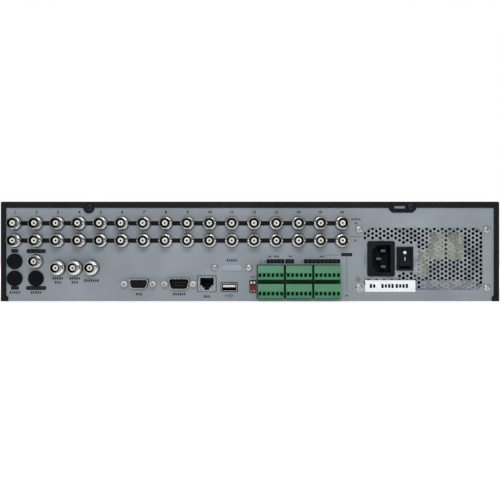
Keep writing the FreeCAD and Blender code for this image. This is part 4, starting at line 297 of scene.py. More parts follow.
def tinted(name, dark, light, rough):
    """Clear plastic with a dye in it, glossy outside."""
    tree = Tree(name)
    haze = tree.noise(90.0, 3.0)
    colour = tree.ramp(haze, [(0.35, dark), (0.7, light)])
    tree.set(Base_Color=colour, Roughness=tree.between(tree.noise(700.0, 2.0), *rough))
    tree.shader.inputs["Coat Weight"].default_value = 0.6
    tree.shader.inputs["Coat Roughness"].default_value = 0.05
    tree.bump(haze, 0.01 * MM)
    return tree.material


FINISHES = {
    "galvanised_sheet": spangled("galvanised_sheet", tone(132, 138, 142), tone(196, 200, 202),
                                 130.0, (0.32, 0.5)),
    "black_enamel": enamel("black_enamel", tone(13, 17, 20), tone(27, 32, 36),
                           1500.0, (0.42, 0.55), 0.03 * MM, gloss=0.1),
    "grey_enamel": enamel("grey_enamel", tone(122, 130, 136), tone(146, 154, 161),
                          1300.0, (0.5, 0.62), 0.03 * MM),
    "black_screw": plated("black_screw", tone(20, 22, 26), tone(58, 62, 68), (0.28, 0.42)),
    "zinc_screw": plated("zinc_screw", tone(140, 144, 148), tone(200, 203, 206),
                         (0.2, 0.32), depth=0.001 * MM),
    "nickel_plate": plated("nickel_plate", tone(146, 146, 142), tone(198, 197, 192),
                           (0.12, 0.2), depth=0.0004 * MM),
    "white_insulator": moulded("white_insulator", tone(222, 222, 208), tone(246, 246, 236),
                               (0.3, 0.42), subsurface=0.15),
    # Gold kept nearly black here: painted shade standing in for the dark middle of each socket. The same
    # dark tone also goes on the jack and port contacts.
    "gold_contact": plated("gold_contact", tone(54, 47, 34), tone(92, 80, 56), (0.36, 0.48)),
    "black_moulding": moulded("black_moulding", tone(10, 14, 18), tone(22, 27, 31),
                              (0.42, 0.58), gloss=0.1),
    "black_gloss": moulded("black_gloss", tone(10, 13, 16), tone(20, 24, 28),
                           (0.24, 0.34), depth=0.008 * MM, gloss=0.15),
    "black_rubber": moulded("black_rubber", tone(4, 7, 11), tone(12, 16, 21),
                            (0.5, 0.66), 900.0, 0.03 * MM, gloss=0.08),
    "port_plastic": moulded("port_plastic", tone(190, 194, 192), tone(222, 226, 224),
                            (0.35, 0.5), subsurface=0.1),
    "shield_steel": plated("shield_steel", tone(120, 126, 132), tone(164, 170, 176),
                           (0.2, 0.34), (300.0, 1500.0, 1500.0)),
    "blue_plate": enamel("blue_plate", tone(140, 152, 162), tone(158, 170, 180),
                         1200.0, (0.4, 0.52), 0.02 * MM),
    "red_plastic": moulded("red_plastic", tone(84, 28, 30), tone(112, 40, 40), (0.36, 0.5), gloss=0.3),
    "green_plastic": moulded("green_plastic", tone(52, 118, 80), tone(70, 138, 98),
                             (0.36, 0.5), gloss=0.3),
    "dark_green_plastic": moulded("dark_green_plastic", tone(6, 46, 24), tone(14, 64, 36),
                                  (0.4, 0.54), gloss=0.2),
    "psu_steel": spangled("psu_steel", tone(116, 122, 128), tone(156, 162, 168), 160.0, (0.44, 0.6)),
    "brown_board": circuit("brown_board", tone(52, 38, 24), tone(70, 52, 34), 180.0),
    "green_board": circuit("green_board", tone(14, 66, 40), tone(32, 98, 60), 230.0),
    "yellow_tape": taped("yellow_tape", tone(236, 237, 160), tone(254, 252, 206)),
    "brass_pin": plated("brass_pin", tone(74, 74, 70), tone(116, 116, 110), (0.24, 0.36)),
    "label_paper": paper("label_paper", tone(228, 232, 238), tone(246, 248, 250)),
    "drive_casting": spangled("drive_casting", tone(120, 124, 128), tone(160, 164, 168),
                              420.0, (0.45, 0.6)),
    "loom_jacket": wires("loom_jacket", tone(24, 24, 26), tone(70, 66, 60)),
    "fascia_plastic": moulded("fascia_plastic", tone(20, 23, 27), tone(34, 38, 43),
                              (0.36, 0.5), 1100.0, 0.035 * MM),
    "smoked_window": tinted("smoked_window", tone(8, 9, 12), tone(22, 24, 30), (0.05, 0.1)),
    "light_pipe": tinted("light_pipe", tone(120, 168, 132), tone(176, 214, 184), (0.15, 0.25)),
    "key_plastic": moulded("key_plastic", tone(58, 62, 68), tone(80, 85, 92), (0.34, 0.46)),
    "ring_plastic": moulded("ring_plastic", tone(96, 101, 108), tone(124, 129, 136),
                            (0.24, 0.36), coat=0.2),
    "dark_ink": moulded("dark_ink", tone(6, 9, 13), tone(16, 20, 26),
                        (0.45, 0.6), 2200.0, 0.006 * MM, gloss=0.1),
    "turned_nickel": plated("turned_nickel", tone(186, 186, 181), tone(242, 241, 236),
                            (0.14, 0.22), (200.0, 2400.0, 200.0), 0.0004 * MM),
    "bore_shade": plated("bore_shade", tone(12, 13, 15), tone(34, 35, 38), (0.4, 0.55)),
    "grey_ink": moulded("grey_ink", tone(40, 47, 58), tone(60, 68, 80),
                        (0.45, 0.6), 2200.0, 0.006 * MM, gloss=0.2),
    "white_ink": moulded("white_ink", tone(214, 218, 222), tone(238, 240, 242),
                         (0.4, 0.55), 2200.0, 0.006 * MM),
}


def dress_nodes():
    """Gives each CAD node the finish of its material slot."""
    slots = {row["node"]: row["material_slot"] for row in frame["record"]["subparts"]}
    for name, node in frame["nodes"].items():
        node.data.materials.clear()
        node.data.materials.append(FINISHES[slots[name]])


# ================================================================ shapes
def piece(name, mesh, slot, finish=None, body=CASE):
    """Links a bmesh as a piece that rides on a body and takes a slot's finish."""
    data = bpy.data.meshes.new(name)
    bmesh.ops.recalc_face_normals(mesh, faces=mesh.faces)
    mesh.to_mesh(data)
    mesh.free()
    made = bpy.data.objects.new(name, data)
    bpy.context.scene.collection.objects.link(made)
    data.materials.append(FINISHES[finish or slot])
    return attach(made, body)


def middle(box):
    return (box[0] + box[1]) / 2


def islands(node):
    """The (lowest, highest) corners of each separate solid in a CAD node."""
    mesh = frame["nodes"][node].data
    keys = [tuple(round(c / (0.002 * MM)) for c in vertex.co) for vertex in mesh.vertices]
    parent = {key: key for key in keys}

    def root(key):
        while parent[key] != key:
            parent[key] = parent[parent[key]]
            key = parent[key]
        return key

    for edge in mesh.edges:
        first, second = (root(keys[index]) for index in edge.vertices)
        parent[first] = second
    boxes = {}
    for key, vertex in zip(keys, mesh.vertices):
        low, high = boxes.setdefault(root(key), (vertex.co.copy(), vertex.co.copy()))
        for axis in range(3):
            low[axis] = min(low[axis], vertex.co[axis])
            high[axis] = max(high[axis], vertex.co[axis])
    return list(boxes.values())


def repaint(node, finish, chosen):
    """Gives another finish to the polygons of a CAD node that chosen(polygon) picks."""
    data = frame["nodes"][node].data
    data.materials.append(FINISHES[finish])
    for polygon in data.polygons:
        if chosen(polygon):
            polygon.material_index = len(data.materials) - 1


def inside(place, box, margin=0.0):
    """Whether a place lies in a box made smaller by margin on every side."""
    return all(box[0][axis] + margin <= place[axis] <= box[1][axis] - margin for axis in range(3))


def slab(mesh, points, y, thickness=INK, facing=1):
    """A thin plate through (x, z) points, on the plane at y and standing off it."""
    back = [mesh.verts.new((px, y - facing * INK, pz)) for px, pz in points]
    front = [mesh.verts.new((px, y + facing * thickness, pz)) for px, pz in points]
    mesh.faces.new(back)
    mesh.faces.new(front)
    count = len(points)
    for i in range(count):
        mesh.faces.new((back[i], back[(i + 1) % count], front[(i + 1) % count], front[i]))


def bar(mesh, x, z, width, height, y, facing=1, cut=0.0):
    """A printed bar centred on x and z, with its corners cut off by cut."""
    w, h = width / 2, height / 2
    if cut:
        points = [(-w + cut, -h), (w - cut, -h), (w, -h + cut), (w, h - cut),
                  (w - cut, h), (-w + cut, h), (-w, h - cut), (-w, -h + cut)]
    else:
        points = [(-w, -h), (w, -h), (w, h), (-w, h)]
    slab(mesh, [(x + dx, z + dz) for dx, dz in points], y, facing=facing)


def disc(mesh, x, z, radius, y, facing=1, sides=28, inner=0.0):
    """A printed dot, or a ring when inner is given."""
    turns = [2 * math.pi * i / sides for i in range(sides)]
    outer = [(x + radius * math.cos(t), z + radius * math.sin(t)) for t in turns]
    if not inner:
        slab(mesh, outer, y, facing=facing)
        return
    hole = [(x + inner * math.cos(t), z + inner * math.sin(t)) for t in turns]
    for i in range(sides):
        j = (i + 1) % sides
        slab(mesh, [outer[i], outer[j], hole[j], hole[i]], y, facing=facing)


def word(mesh, x, z, letters, y, size=CAPTION, facing=1):
    """A word as one block per letter, so that nothing can be read."""
    pitch = size * 0.82
    for i in range(letters):
        height = size * (1.0, 0.82, 0.92)[i % 3]
        shift = (i - (letters - 1) / 2) * pitch
        bar(mesh, x - facing * shift, z, pitch * 0.68, height, y, facing, cut=0.15 * MM)


def numerals(name, places, size, y, finish):
    """Numbers centred on (text, x, z) places, read from behind the case."""
    mesh = bmesh.new()
    for text, x, z in places:
        curve = bpy.data.curves.new(name, "FONT")
        curve.body = text
        curve.size = size
        curve.extrude = INK
        curve.offset = 0.035 * size
        curve.resolution_u = 4
        curve.align_x = "CENTER"
        curve.align_y = "CENTER"
        letter = bpy.data.objects.new(name, curve)
        flat = bpy.data.meshes.new_from_object(letter)
        for vertex in flat.vertices:
            vertex.co = Vector((x - vertex.co.x, y + vertex.co.z, z + vertex.co.y))
        mesh.from_mesh(flat)
        bpy.data.objects.remove(letter)
        bpy.data.curves.remove(curve)
        bpy.data.meshes.remove(flat)
    return piece(name, mesh, "black_enamel", finish)


def surface(node):
    """A search tree of a CAD node's faces."""
    mesh = frame["nodes"][node].data
    return BVHTree.FromPolygons([v.co for v in mesh.vertices], [p.vertices[:] for p in mesh.polygons])


def draped(mesh, node, facing):
    """Moves each vertex of a printed shape along Y, onto the face of a node that it is printed on."""
    tree = surface(node)
    direction = -facing
    base = min(vertex.co.y * facing.y for vertex in mesh.verts)
    for vertex in mesh.verts:
        rise = vertex.co.y * facing.y - base
        start = Vector((vertex.co.x, 0.4 * facing.y, vertex.co.z))
        point = tree.ray_cast(start, direction)[0]
        if point:
            vertex.co.y = point.y + facing.y * (rise - INK)
    return mesh


def tube(name, runs, radius, slot, sides=8):
    """Round wires through lists of points, as one mesh piece."""
    mesh = bmesh.new()
    for run in runs:
        curve = bpy.data.curves.new(name, "CURVE")
        curve.dimensions = "3D"
        curve.bevel_depth = radius
        curve.bevel_resolution = max(1, sides // 4 - 1)
        curve.use_fill_caps = True
        spline = curve.splines.new("POLY")
        spline.points.add(len(run) - 1)
        for point, place in zip(spline.points, run):
            point.co = (*place, 1.0)
        wire = bpy.data.objects.new(name, curve)
        flat = bpy.data.meshes.new_from_object(wire)
        mesh.from_mesh(flat)
        bpy.data.objects.remove(wire)
        bpy.data.curves.remove(curve)
        bpy.data.meshes.remove(flat)
    return piece(name, mesh, slot)


def swept_ring(mesh, outline, y, width, height):
    """A raised rim along a closed outline of (x, z) points, with a rounded section."""
    count = len(outline)
    centre = (sum(p[0] for p in outline) / count, sum(p[1] for p in outline) / count)
    section = [(-0.5, 0.0), (-0.32, 0.75), (0.0, 1.0), (0.32, 0.75), (0.5, 0.0)]
    loops = []
    for px, pz in outline:
        away = Vector((px - centre[0], 0, pz - centre[1])).normalized()
        places = [Vector((px, y + rise * height, pz)) + away * side * width for side, rise in section]
        loops.append([mesh.verts.new(place) for place in places])
    for i in range(count):
        here, there = loops[i], loops[(i + 1) % count]
        for k in range(len(section)):
            j = (k + 1) % len(section)
            mesh.faces.new((here[k], here[j], there[j], there[k]))


# ================================================================ the connector side
def row_of(boxes, z, reach=2 * MM):
    """The boxes whose middles lie at one height, from the case's +X side."""
    level = [box for box in boxes if abs(middle(box).z - z) < reach]
    return sorted(level, key=lambda box: -middle(box).x)


PANEL_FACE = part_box("rear_panel")[1].y
SOCKETS = islands("bnc_shells")
CHANNEL_LEVELS = sorted({round(middle(box).z, 4) for box in SOCKETS})[-2:]
CHANNELS = [row_of(SOCKETS, level) for level in reversed(CHANNEL_LEVELS)]
OTHER_SOCKETS = [box for box in SOCKETS if middle(box).z < min(CHANNEL_LEVELS) - 5 * MM]
LINE_SOCKETS = sorted(OTHER_SOCKETS, key=lambda box: -middle(box).x)[1:]
AUDIO_SOCKET = sorted(OTHER_SOCKETS, key=lambda box: -middle(box).x)[0]
CAPS = sorted(islands("blank_plugs"), key=lambda box: (-middle(box).x, -middle(box).z))
SHELLS = sorted(islands("port_shells"), key=lambda box: -middle(box).x)
REAR_SHELLS = [box for box in SHELLS if box[1].y > PANEL_FACE]
SOCKET_BORE = 4.3 * MM
BARREL = 4.86 * MM
COLLAR_INNER = 4.5 * MM           # inside the barrel's wall
COLLAR_FOOT = 2.29 * MM            # the flange's face, from the panel
COLLAR_RISE = 3.4 * MM
TONGUE_MOST = 3 * MM               # a taller insert is not a bus port's tongue
BARRIER_LEAST = 3 * MM             # a lower part of the supply is its bare board
SINK_LEAST = 14 * MM
COIL_HEIGHT = 25.4 * MM


def shade_bores():
    """Darkens the insides of sockets and ports, where no light reaches."""
    axes = [middle(box) for box in SOCKETS]

    def in_socket(polygon):
        place = polygon.center
        axis = min(axes, key=lambda a: (a.x - place.x) ** 2 + (a.z - place.z) ** 2)
        out = Vector((place.x - axis.x, 0, place.z - axis.z))
        floor = polygon.normal.y > 0.9 and out.length < SOCKET_BORE and place.y < SOCKETS[0][1].y - MM
        return floor or polygon.normal.dot(out) < -0.3 * out.length

    def in_shell(polygon):
        holder = [box for box in SHELLS if inside(polygon.center, box, -0.01 * MM)]
        return bool(holder) and polygon.normal.dot(polygon.center - middle(holder[0])) < 0

    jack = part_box("lan_jack")
    blocks = [box for box in islands("port_inserts") if box[1].z - box[0].z > TONGUE_MOST]
    repaint("bnc_shells", "bore_shade", in_socket)
    repaint("port_shells", "bore_shade", in_shell)
    repaint("lan_jack", "black_moulding", lambda polygon: inside(polygon.center, jack, 0.7 * MM))
    repaint("port_inserts", "black_moulding",
            lambda polygon: any(inside(polygon.center, box, -0.01 * MM) for box in blocks))


def socket_collars():
    """Turned shoulders between the flange and the barrel of each socket."""
    mesh = bmesh.new()
    sides, steps = 40, 8
    for box in SOCKETS:
        axis, flange = middle(box), (box[1].z - box[0].z) / 2
        slopes = [math.pi / 2 * step / steps for step in range(steps + 1)]
        profile = [(BARREL + (flange - BARREL) * math.cos(a), COLLAR_RISE * math.sin(a)) for a in slopes]
        profile += [(COLLAR_INNER, COLLAR_RISE), (COLLAR_INNER, 0.0)]
        loops = []
        for radius, rise in profile:
            turns = [2 * math.pi * i / sides for i in range(sides)]
            y = PANEL_FACE + COLLAR_FOOT + rise
            places = [(axis.x + radius * math.cos(t), y, axis.z + radius * math.sin(t)) for t in turns]
            loops.append([mesh.verts.new(place) for place in places])
        loft(mesh, loops, ring=True)
    made = piece("socket_collars", mesh, "nickel_plate", "turned_nickel")
    for polygon in made.data.polygons:
        polygon.use_smooth = polygon.index % (sides * len(profile)) < sides * steps


def shade_supply():
    """Tells apart the board, the terminal barrier and the heat sinks of the power supply."""
    boxes = islands("psu_board")
    tall = [box for box in boxes if box[1].z - box[0].z > SINK_LEAST]
    low = [box for box in boxes if BARRIER_LEAST < box[1].z - box[0].z <= SINK_LEAST]

    def within(group):
        return lambda polygon: any(inside(polygon.center, box, -0.01 * MM) for box in group)

    repaint("psu_board", "black_moulding", within(tall))
    repaint("psu_board", "label_paper", within(low))


def coil_ring(mesh, box, z, inset, radius, steps=5):
    """A loop of vertices round a box's plan with rounded corners."""
    left, right = box[0].x + inset, box[1].x - inset
    near, far = box[0].y + inset, box[1].y - inset
    corners = ((right - radius, far - radius, 0), (left + radius, far - radius, 1),
               (left + radius, near + radius, 2), (right - radius, near + radius, 3))
    loop = []
    for x, y, quarter in corners:
        for i in range(steps):
            turn = math.pi / 2 * (quarter + i / (steps - 1))
            loop.append(mesh.verts.new((x + radius * math.cos(turn), y + radius * math.sin(turn), z)))
    return loop


def loft(mesh, loops, ring=False):
    """Joins loops of equally many vertices into a closed body, or into a ring that has no ends."""
    following = loops[1:] + loops[:1] if ring else loops[1:]
    for here, there in zip(loops, following):
        for i in range(len(here)):
            j = (i + 1) % len(here)
            mesh.faces.new((here[i], here[j], there[j], there[i]))
    if not ring:
        mesh.faces.new(loops[0])
        mesh.faces.new(loops[-1])


def windings():
    """Taped coils on dark cores, in the place of the plain blocks on the supply's board."""
    coils, cores = bmesh.new(), bmesh.new()
    for box in islands("psu_windings"):
        foot = box[1].z - COIL_HEIGHT
        rows = ((0.0, 0.9), (0.06, 0.35), (0.2, 0.1), (0.5, 0.0), (0.8, 0.1), (0.94, 0.35), (1.0, 0.9))
        loft(coils, [coil_ring(coils, box, foot + COIL_HEIGHT * t, i * MM, 2.2 * MM) for t, i in rows])
        loft(cores, [coil_ring(cores, box, z, i * MM, 0.6 * MM) for z, i in
                     ((box[0].z, 0.9), (foot - 2.4 * MM, 0.9), (foot - 1.6 * MM, 0.1), (foot, 0.1))])
    taped_coils = piece("psu_coils", coils, "yellow_tape")
    piece("psu_cores", cores, "black_moulding")
    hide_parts("psu_windings")


def channel_numbers():
    middles = [middle(box) for box in CHANNELS[0]]
    places = [(str(i + 1), place.x, place.z + NUMERAL_RISE) for i, place in enumerate(middles)]
    numerals("channel_numerals", places, NUMERAL, PANEL_FACE, "dark_ink")


def channel_bars():
    """Black bars that join the sockets of each channel row."""
    mesh = bmesh.new()
    for row in CHANNELS:
        for left, right in zip(row, row[1:]):
            gap = (left[0].x, right[1].x)
            width = gap[0] - gap[1] + CHANNEL_BAR_OVERLAP
            bar(mesh, sum(gap) / 2, middle(left).z, width, CHANNEL_BAR, PANEL_FACE)
    piece("channel_bars", mesh, "black_enamel", "dark_ink")


def captions():
    """Word-like marks beside each socket."""
    mesh = bmesh.new()
    face = PANEL_FACE
    for box, lines in zip(LINE_SOCKETS, LINE_CAPTIONS):
        place = middle(box)
        for i, letters in enumerate(lines):
            drop = LINE_CAPTION_DROP[len(lines)] + LINE_CAPTION_PITCH * i
            word(mesh, place.x, place.z - drop, letters, face)
    for box, letters in zip(REAR_SHELLS, DATA_CAPTIONS):
        word(mesh, middle(box).x, middle(box).z - DATA_CAPTION_DROP, letters, face)
    lan, blank, dip = (middle(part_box(node)) for node in ("lan_jack", "blanking_plate", "dip_switch_body"))
    word(mesh, lan.x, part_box("lan_jack")[0].z - LAN_CAPTION_DROP, 3, face)
    word(mesh, blank.x, blank.z + BLANK_CAPTION_RISE, 5, face)
    word(mesh, dip.x, dip.z + DIP_CAPTION_RISE, 3, face, DIP_PRINT)
    last = middle(CHANNELS[0][-1])
    upper, lower = (last.x - shift for shift in ROW_PRINT_SHIFT)
    word(mesh, upper, last.z + ROW_PRINT_RISE, 6, face, ROW_PRINT)
    word(mesh, upper, last.z, 2, face, ROW_PRINT)
    word(mesh, lower, middle(CHANNELS[1][-1]).z, 2, face, ROW_PRINT)
    low = min(middle(box).z for box in CAPS)
    for column in (middle(CAPS[0]).x, middle(AUDIO_SOCKET).x):
        word(mesh, column, low - AUDIO_CAPTION_DROP, 5, face)
    piece("panel_captions", mesh, "black_enamel", "grey_ink")


def port_symbol():
    """The usual trident below a serial bus port."""
    mesh = bmesh.new()
    usb = REAR_SHELLS[2]
    x, z = middle(usb).x, usb[0].z - 3.8 * MM
    bar(mesh, x, z, 6.0 * MM, 0.35 * MM, PANEL_FACE)
    disc(mesh, x + 3.0 * MM, z, 0.65 * MM, PANEL_FACE)
    slab(mesh, [(x - 3.9 * MM, z), (x - 2.7 * MM, z + 0.7 * MM), (x - 2.7 * MM, z - 0.7 * MM)], PANEL_FACE)
    for side in (-1, 1):
        level = z + side * 1.1 * MM
        run = [(x + 1.2 * MM, z), (x + 0.9 * MM, z), (x - 0.3 * MM, level), (x, level)]
        slab(mesh, run, PANEL_FACE)
        bar(mesh, x - 0.9 * MM, level, 1.3 * MM, 0.35 * MM, PANEL_FACE)
        disc(mesh, x - 1.6 * MM, level, 0.45 * MM, PANEL_FACE)
    piece("bus_port_mark", mesh, "black_enamel", "dark_ink")


def tag(mesh, ticks, x, z, width, height, count, cut=0.0):
    """A black printed block with light word-like marks in it."""
    bar(mesh, x, z, width, height, PANEL_FACE, cut=cut)
    size = height * 0.5
    pitch = width / (count + 1)
    for i in range(count):
        bar(ticks, x + width / 2 - pitch * (i + 1), z, size * 0.55, size, PANEL_FACE + INK)


def audio_tags():
    """The blocks round the square of audio sockets."""
    blocks, ticks = bmesh.new(), bmesh.new()
    cap, socket = middle(CAPS[0]), middle(AUDIO_SOCKET)
    low = min(middle(box).z for box in CAPS)
    tag(blocks, ticks, cap.x, cap.z + NARROW_TAG_RISE, *NARROW_TAG, 2)
    tag(blocks, ticks, socket.x, cap.z + WIDE_TAG_RISE, *WIDE_TAG, 7, WIDE_TAG_CUT)
    tag(blocks, ticks, cap.x, low - AUDIO_TAG_DROP, *NARROW_LOW_TAG, 2)
    tag(blocks, ticks, socket.x, low - AUDIO_TAG_DROP, *WIDE_LOW_TAG, 7, WIDE_TAG_CUT)
    piece("audio_tags", blocks, "black_enamel", "dark_ink")
    piece("audio_tag_marks", ticks, "label_paper", "grey_ink")


def terminal_print():
    """Blocks, words and lines round the terminal plugs."""
    blocks, ticks, small = bmesh.new(), bmesh.new(), bmesh.new()
    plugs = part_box("terminal_headers")
    left, top = plugs[1].x, plugs[1].z
    level = top + 3.0 * MM
    for start, end, count in TERMINAL_TAGS:
        width = (end - start) * MM
        tag(blocks, ticks, left - (start + end) / 2 * MM, level, width, TERMINAL_TAG_HEIGHT, count)
    for offset, letters in TERMINAL_WORDS:
        word(small, left - offset * MM, level + 4.3 * MM, letters, PANEL_FACE, SMALL_PRINT)
    for offset in TERMINAL_LETTERS:
        word(small, left - offset * MM, level - 0.3 * MM, 1, PANEL_FACE, 1.6 * MM)
    box_x, box_z = left - 79.5 * MM, top + 8.9 * MM
    tag(blocks, ticks, box_x, box_z, 9.6 * MM, 2.9 * MM, 5)
    bar(small, left - 67.4 * MM, box_z - 0.3 * MM, 14.2 * MM, RULE, PANEL_FACE)
    rule = box_z - plugs[0].z - 7.6 * MM
    bar(small, box_x, (box_z + plugs[0].z + 5 * MM) / 2, RULE, rule, PANEL_FACE)
    word(small, box_x, plugs[0].z + 2.3 * MM, 2, PANEL_FACE, 1.6 * MM)
    piece("terminal_tags", blocks, "black_enamel", "dark_ink")
    piece("terminal_tag_marks", ticks, "label_paper", "grey_ink")
    piece("terminal_words", small, "black_enamel", "grey_ink")


def row_line():
    """The thin rule between the two channel rows, right of the last sockets."""
    mesh = bmesh.new()
    upper, lower = (middle(row[-1]) for row in CHANNELS)
    bar(mesh, upper.x - 12.5 * MM, lower.z + 3.5 * MM, 10.6 * MM, RULE, PANEL_FACE)
    piece("row_rule", mesh, "black_enamel", "grey_ink")


def earth_symbol():
    """A ring with an earth sign, above the ground screw."""
    mesh = bmesh.new()
    screw = max(islands("panel_screws"), key=lambda box: (box[1].x - box[0].x) * (box[1].z < 0.03))
    x, z = middle(screw).x + 0.9 * MM, screw[1].z + 2.6 * MM
    disc(mesh, x, z, 2.1 * MM, PANEL_FACE, inner=1.8 * MM)
    bar(mesh, x, z + 0.75 * MM, 0.3 * MM, 1.3 * MM, PANEL_FACE)
    for i, width in enumerate((2.2, 1.4, 0.6)):
        bar(mesh, x, z - 0.6 * MM * i, width * MM, 0.28 * MM, PANEL_FACE)
    piece("earth_mark", mesh, "black_enamel", "dark_ink")


def label_print():
    """Plain bars where the label over the power supply window is printed."""
    mesh = bmesh.new()
    low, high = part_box("ac_label")
    z = (low.z + high.z) / 2
    for share, letters in ((0.15, 2), (0.447, 4), (0.73, 4)):
        word(mesh, high.x - (high.x - low.x) * share, z, letters, high.y, SUPPLY_PRINT)
    piece("label_print", mesh, "black_enamel", "dark_ink")


def lock_rim():
    """The pressed rim round the lock slot and the screw on the wide tab of the cover."""
    mesh = bmesh.new()
    screw = min(islands("cover_screws"), key=lambda box: (box[1].y < PANEL_FACE, middle(box).x))
    x, z = middle(screw).x, middle(screw).z
    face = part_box("top_cover")[1].y
    left, right, radius = x + 15.6 * MM, x, 3.9 * MM
    turns = [math.pi * (i + 0.5) / 12 - math.pi / 2 for i in range(12)]
    outline = [(left + radius * math.cos(t), z + radius * 0.86 * math.sin(t)) for t in turns]
    outline += [(right - radius * math.cos(t), z - radius * 0.86 * math.sin(t)) for t in turns]
    swept_ring(mesh, outline, face - 0.02 * MM, 0.9 * MM, 0.35 * MM)
    piece("lock_rim", mesh, "black_enamel")


def rocker_marks():
    """The dot and the bar on the rocker."""
    mesh = bmesh.new()
    low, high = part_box("power_rocker")
    x, z, reach = (low.x + high.x) / 2, (low.z + high.z) / 2, high.z - low.z
    disc(mesh, x, z + reach * 0.32, 1.35 * MM, 0.0)
    bar(mesh, x, z - reach * 0.04, 0.55 * MM, 3.4 * MM, 0.0)
    piece("rocker_marks", draped(mesh, "power_rocker", REAR), "label_paper", "white_ink", "power_rocker")


def dip_marks():
    """The dark band and the numbers on the two-way switch."""
    low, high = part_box("dip_switch_body")
    band = bmesh.new()
    bar(band, (low.x + high.x) / 2, high.z - 0.7 * MM, high.x - low.x - 0.3 * MM, 1.1 * MM, high.y)
    piece("dip_band", band, "black_moulding", "dark_ink")
    sliders = [middle(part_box(f"dip_slider_{i}")).x for i in (1, 2)]
    places = [(str(i + 1), x, low.z + 1.4 * MM) for i, x in enumerate(sorted(sliders, reverse=True))]
    numerals("dip_numerals", places, 1.7 * MM, high.y, "white_ink")


def lan_contacts():
    """Eight sprung wires in the mouth of the network jack."""
    low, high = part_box("lan_jack")
    x, top = (low.x + high.x) / 2, high.z - 3.0 * MM
    runs = []
    for i in range(8):
        px = x + (i - 3.5) * 1.02 * MM
        runs.append([
            (px, high.y - 3.2 * MM, top), (px, high.y - 4.4 * MM, top - 0.4 * MM),
            (px, high.y - 9.5 * MM, top - 2.6 * MM), (px, high.y - 11.0 * MM, top - 2.4 * MM),
        ])
    tube("lan_contacts", runs, 0.16 * MM, "gold_contact")


def usb_contacts():
    """Four flat contacts under the tongue of each bus port."""
    mesh = bmesh.new()
    for box in islands("port_inserts"):
        if box[1].z - box[0].z > 3 * MM:
            continue
        facing = 1 if middle(box).y > 0 else -1
        mouth = box[1].y if facing > 0 else box[0].y
        for place in (-3.5, -1.0, 1.0, 3.5):
            x = middle(box).x + place * MM
            low_y, high_y = sorted((mouth - facing * 1.0 * MM, mouth - facing * 7.0 * MM))
            left, right = x - 0.5 * MM, x + 0.5 * MM
            sheet = [(left, low_y), (right, low_y), (right, high_y), (left, high_y)]
            top = [mesh.verts.new((px, py, box[0].z + 0.02 * MM)) for px, py in sheet]
            bottom = [mesh.verts.new((px, py, box[0].z - 0.08 * MM)) for px, py in sheet]
            mesh.faces.new(top)
            mesh.faces.new(bottom)
            for i in range(4):
                j = (i + 1) % 4
                mesh.faces.new((bottom[i], bottom[j], top[j], top[i]))
    piece("usb_contacts", mesh, "gold_contact")


# ================================================================ the front
FASCIA_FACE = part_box("front_fascia")[0].y


def front_print():
    """Marks beside the lamps and keys, and ticks round the shuttle ring, all unreadable or numeric."""
    mesh = bmesh.new()
    face = FASCIA_FACE
    for box in islands("status_lights"):
        if box[0].y < face:
            word(mesh, middle(box).x, middle(box).z - 3.6 * MM, 3, face, 1.2 * MM, -1)
    for key, letters in (("menu_key", 4), ("play_key", 4), ("power_button", 5)):
        low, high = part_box(key)
        word(mesh, (low.x + high.x) / 2, low.z - 2.4 * MM, letters, face, 1.4 * MM, -1)
    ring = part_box("shuttle_ring")
    x, z, radius = (ring[0].x + ring[1].x) / 2, (ring[0].z + ring[1].z) / 2, (ring[1].x - ring[0].x) / 2
    for i in range(-4, 5):
        turn = math.radians(90 + i * 17.5)
        near, far = radius + 2.0 * MM, radius + (3.6 if i % 2 else 4.6) * MM
        side = Vector((-math.sin(turn), math.cos(turn))) * 0.22 * MM
        ends = [Vector((x + r * math.cos(turn), z + r * math.sin(turn))) for r in (near, far)]
        slab(mesh, [ends[0] - side, ends[1] - side, ends[1] + side, ends[0] + side], face, facing=-1)
    piece("front_print", mesh, "label_paper", "white_ink")


def key_icons():
    """Arrows on the four direction keys, and plain shapes on the others."""
    steps = {"key_up": (0, 1), "key_down": (0, -1), "key_left": (-1, 0), "key_right": (1, 0)}
    for key, (dx, dz) in steps.items():
        mesh = bmesh.new()
        low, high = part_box(key)
        x, z = (low.x + high.x) / 2, (low.z + high.z) / 2
        tip, wing = 1.5 * MM, 1.3 * MM
        tail_x, tail_z = x - dx * tip * 0.5, z - dz * tip * 0.5
        points = [(x + dx * tip, z + dz * tip), (tail_x + dz * wing, tail_z - dx * wing),
                  (tail_x - dz * wing, tail_z + dx * wing)]
        slab(mesh, points, 0.0, facing=-1)
        piece(f"{key}_icon", draped(mesh, key, FRONT), "label_paper", "white_ink", key)
    for key, shape in (("key_enter", "ring"), ("menu_key", "lines"), ("play_key", "arrow")):
        mesh = bmesh.new()
        low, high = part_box(key)
        x, z = (low.x + high.x) / 2, (low.z + high.z) / 2
        if shape == "ring":
            disc(mesh, x, z, 1.5 * MM, 0.0, -1, inner=1.1 * MM)
        elif shape == "lines":
            for row in (-1, 0, 1):
                bar(mesh, x, z + row * 1.1 * MM, 3.6 * MM, 0.4 * MM, 0.0, -1)
        else:
            tail = x - 1.2 * MM
            points = [(tail, z + 1.5 * MM), (tail, z - 1.5 * MM), (x + 1.6 * MM, z)]
            slab(mesh, points, 0.0, facing=-1)
        piece(f"{key}_icon", draped(mesh, key, FRONT), "label_paper", "white_ink", key)


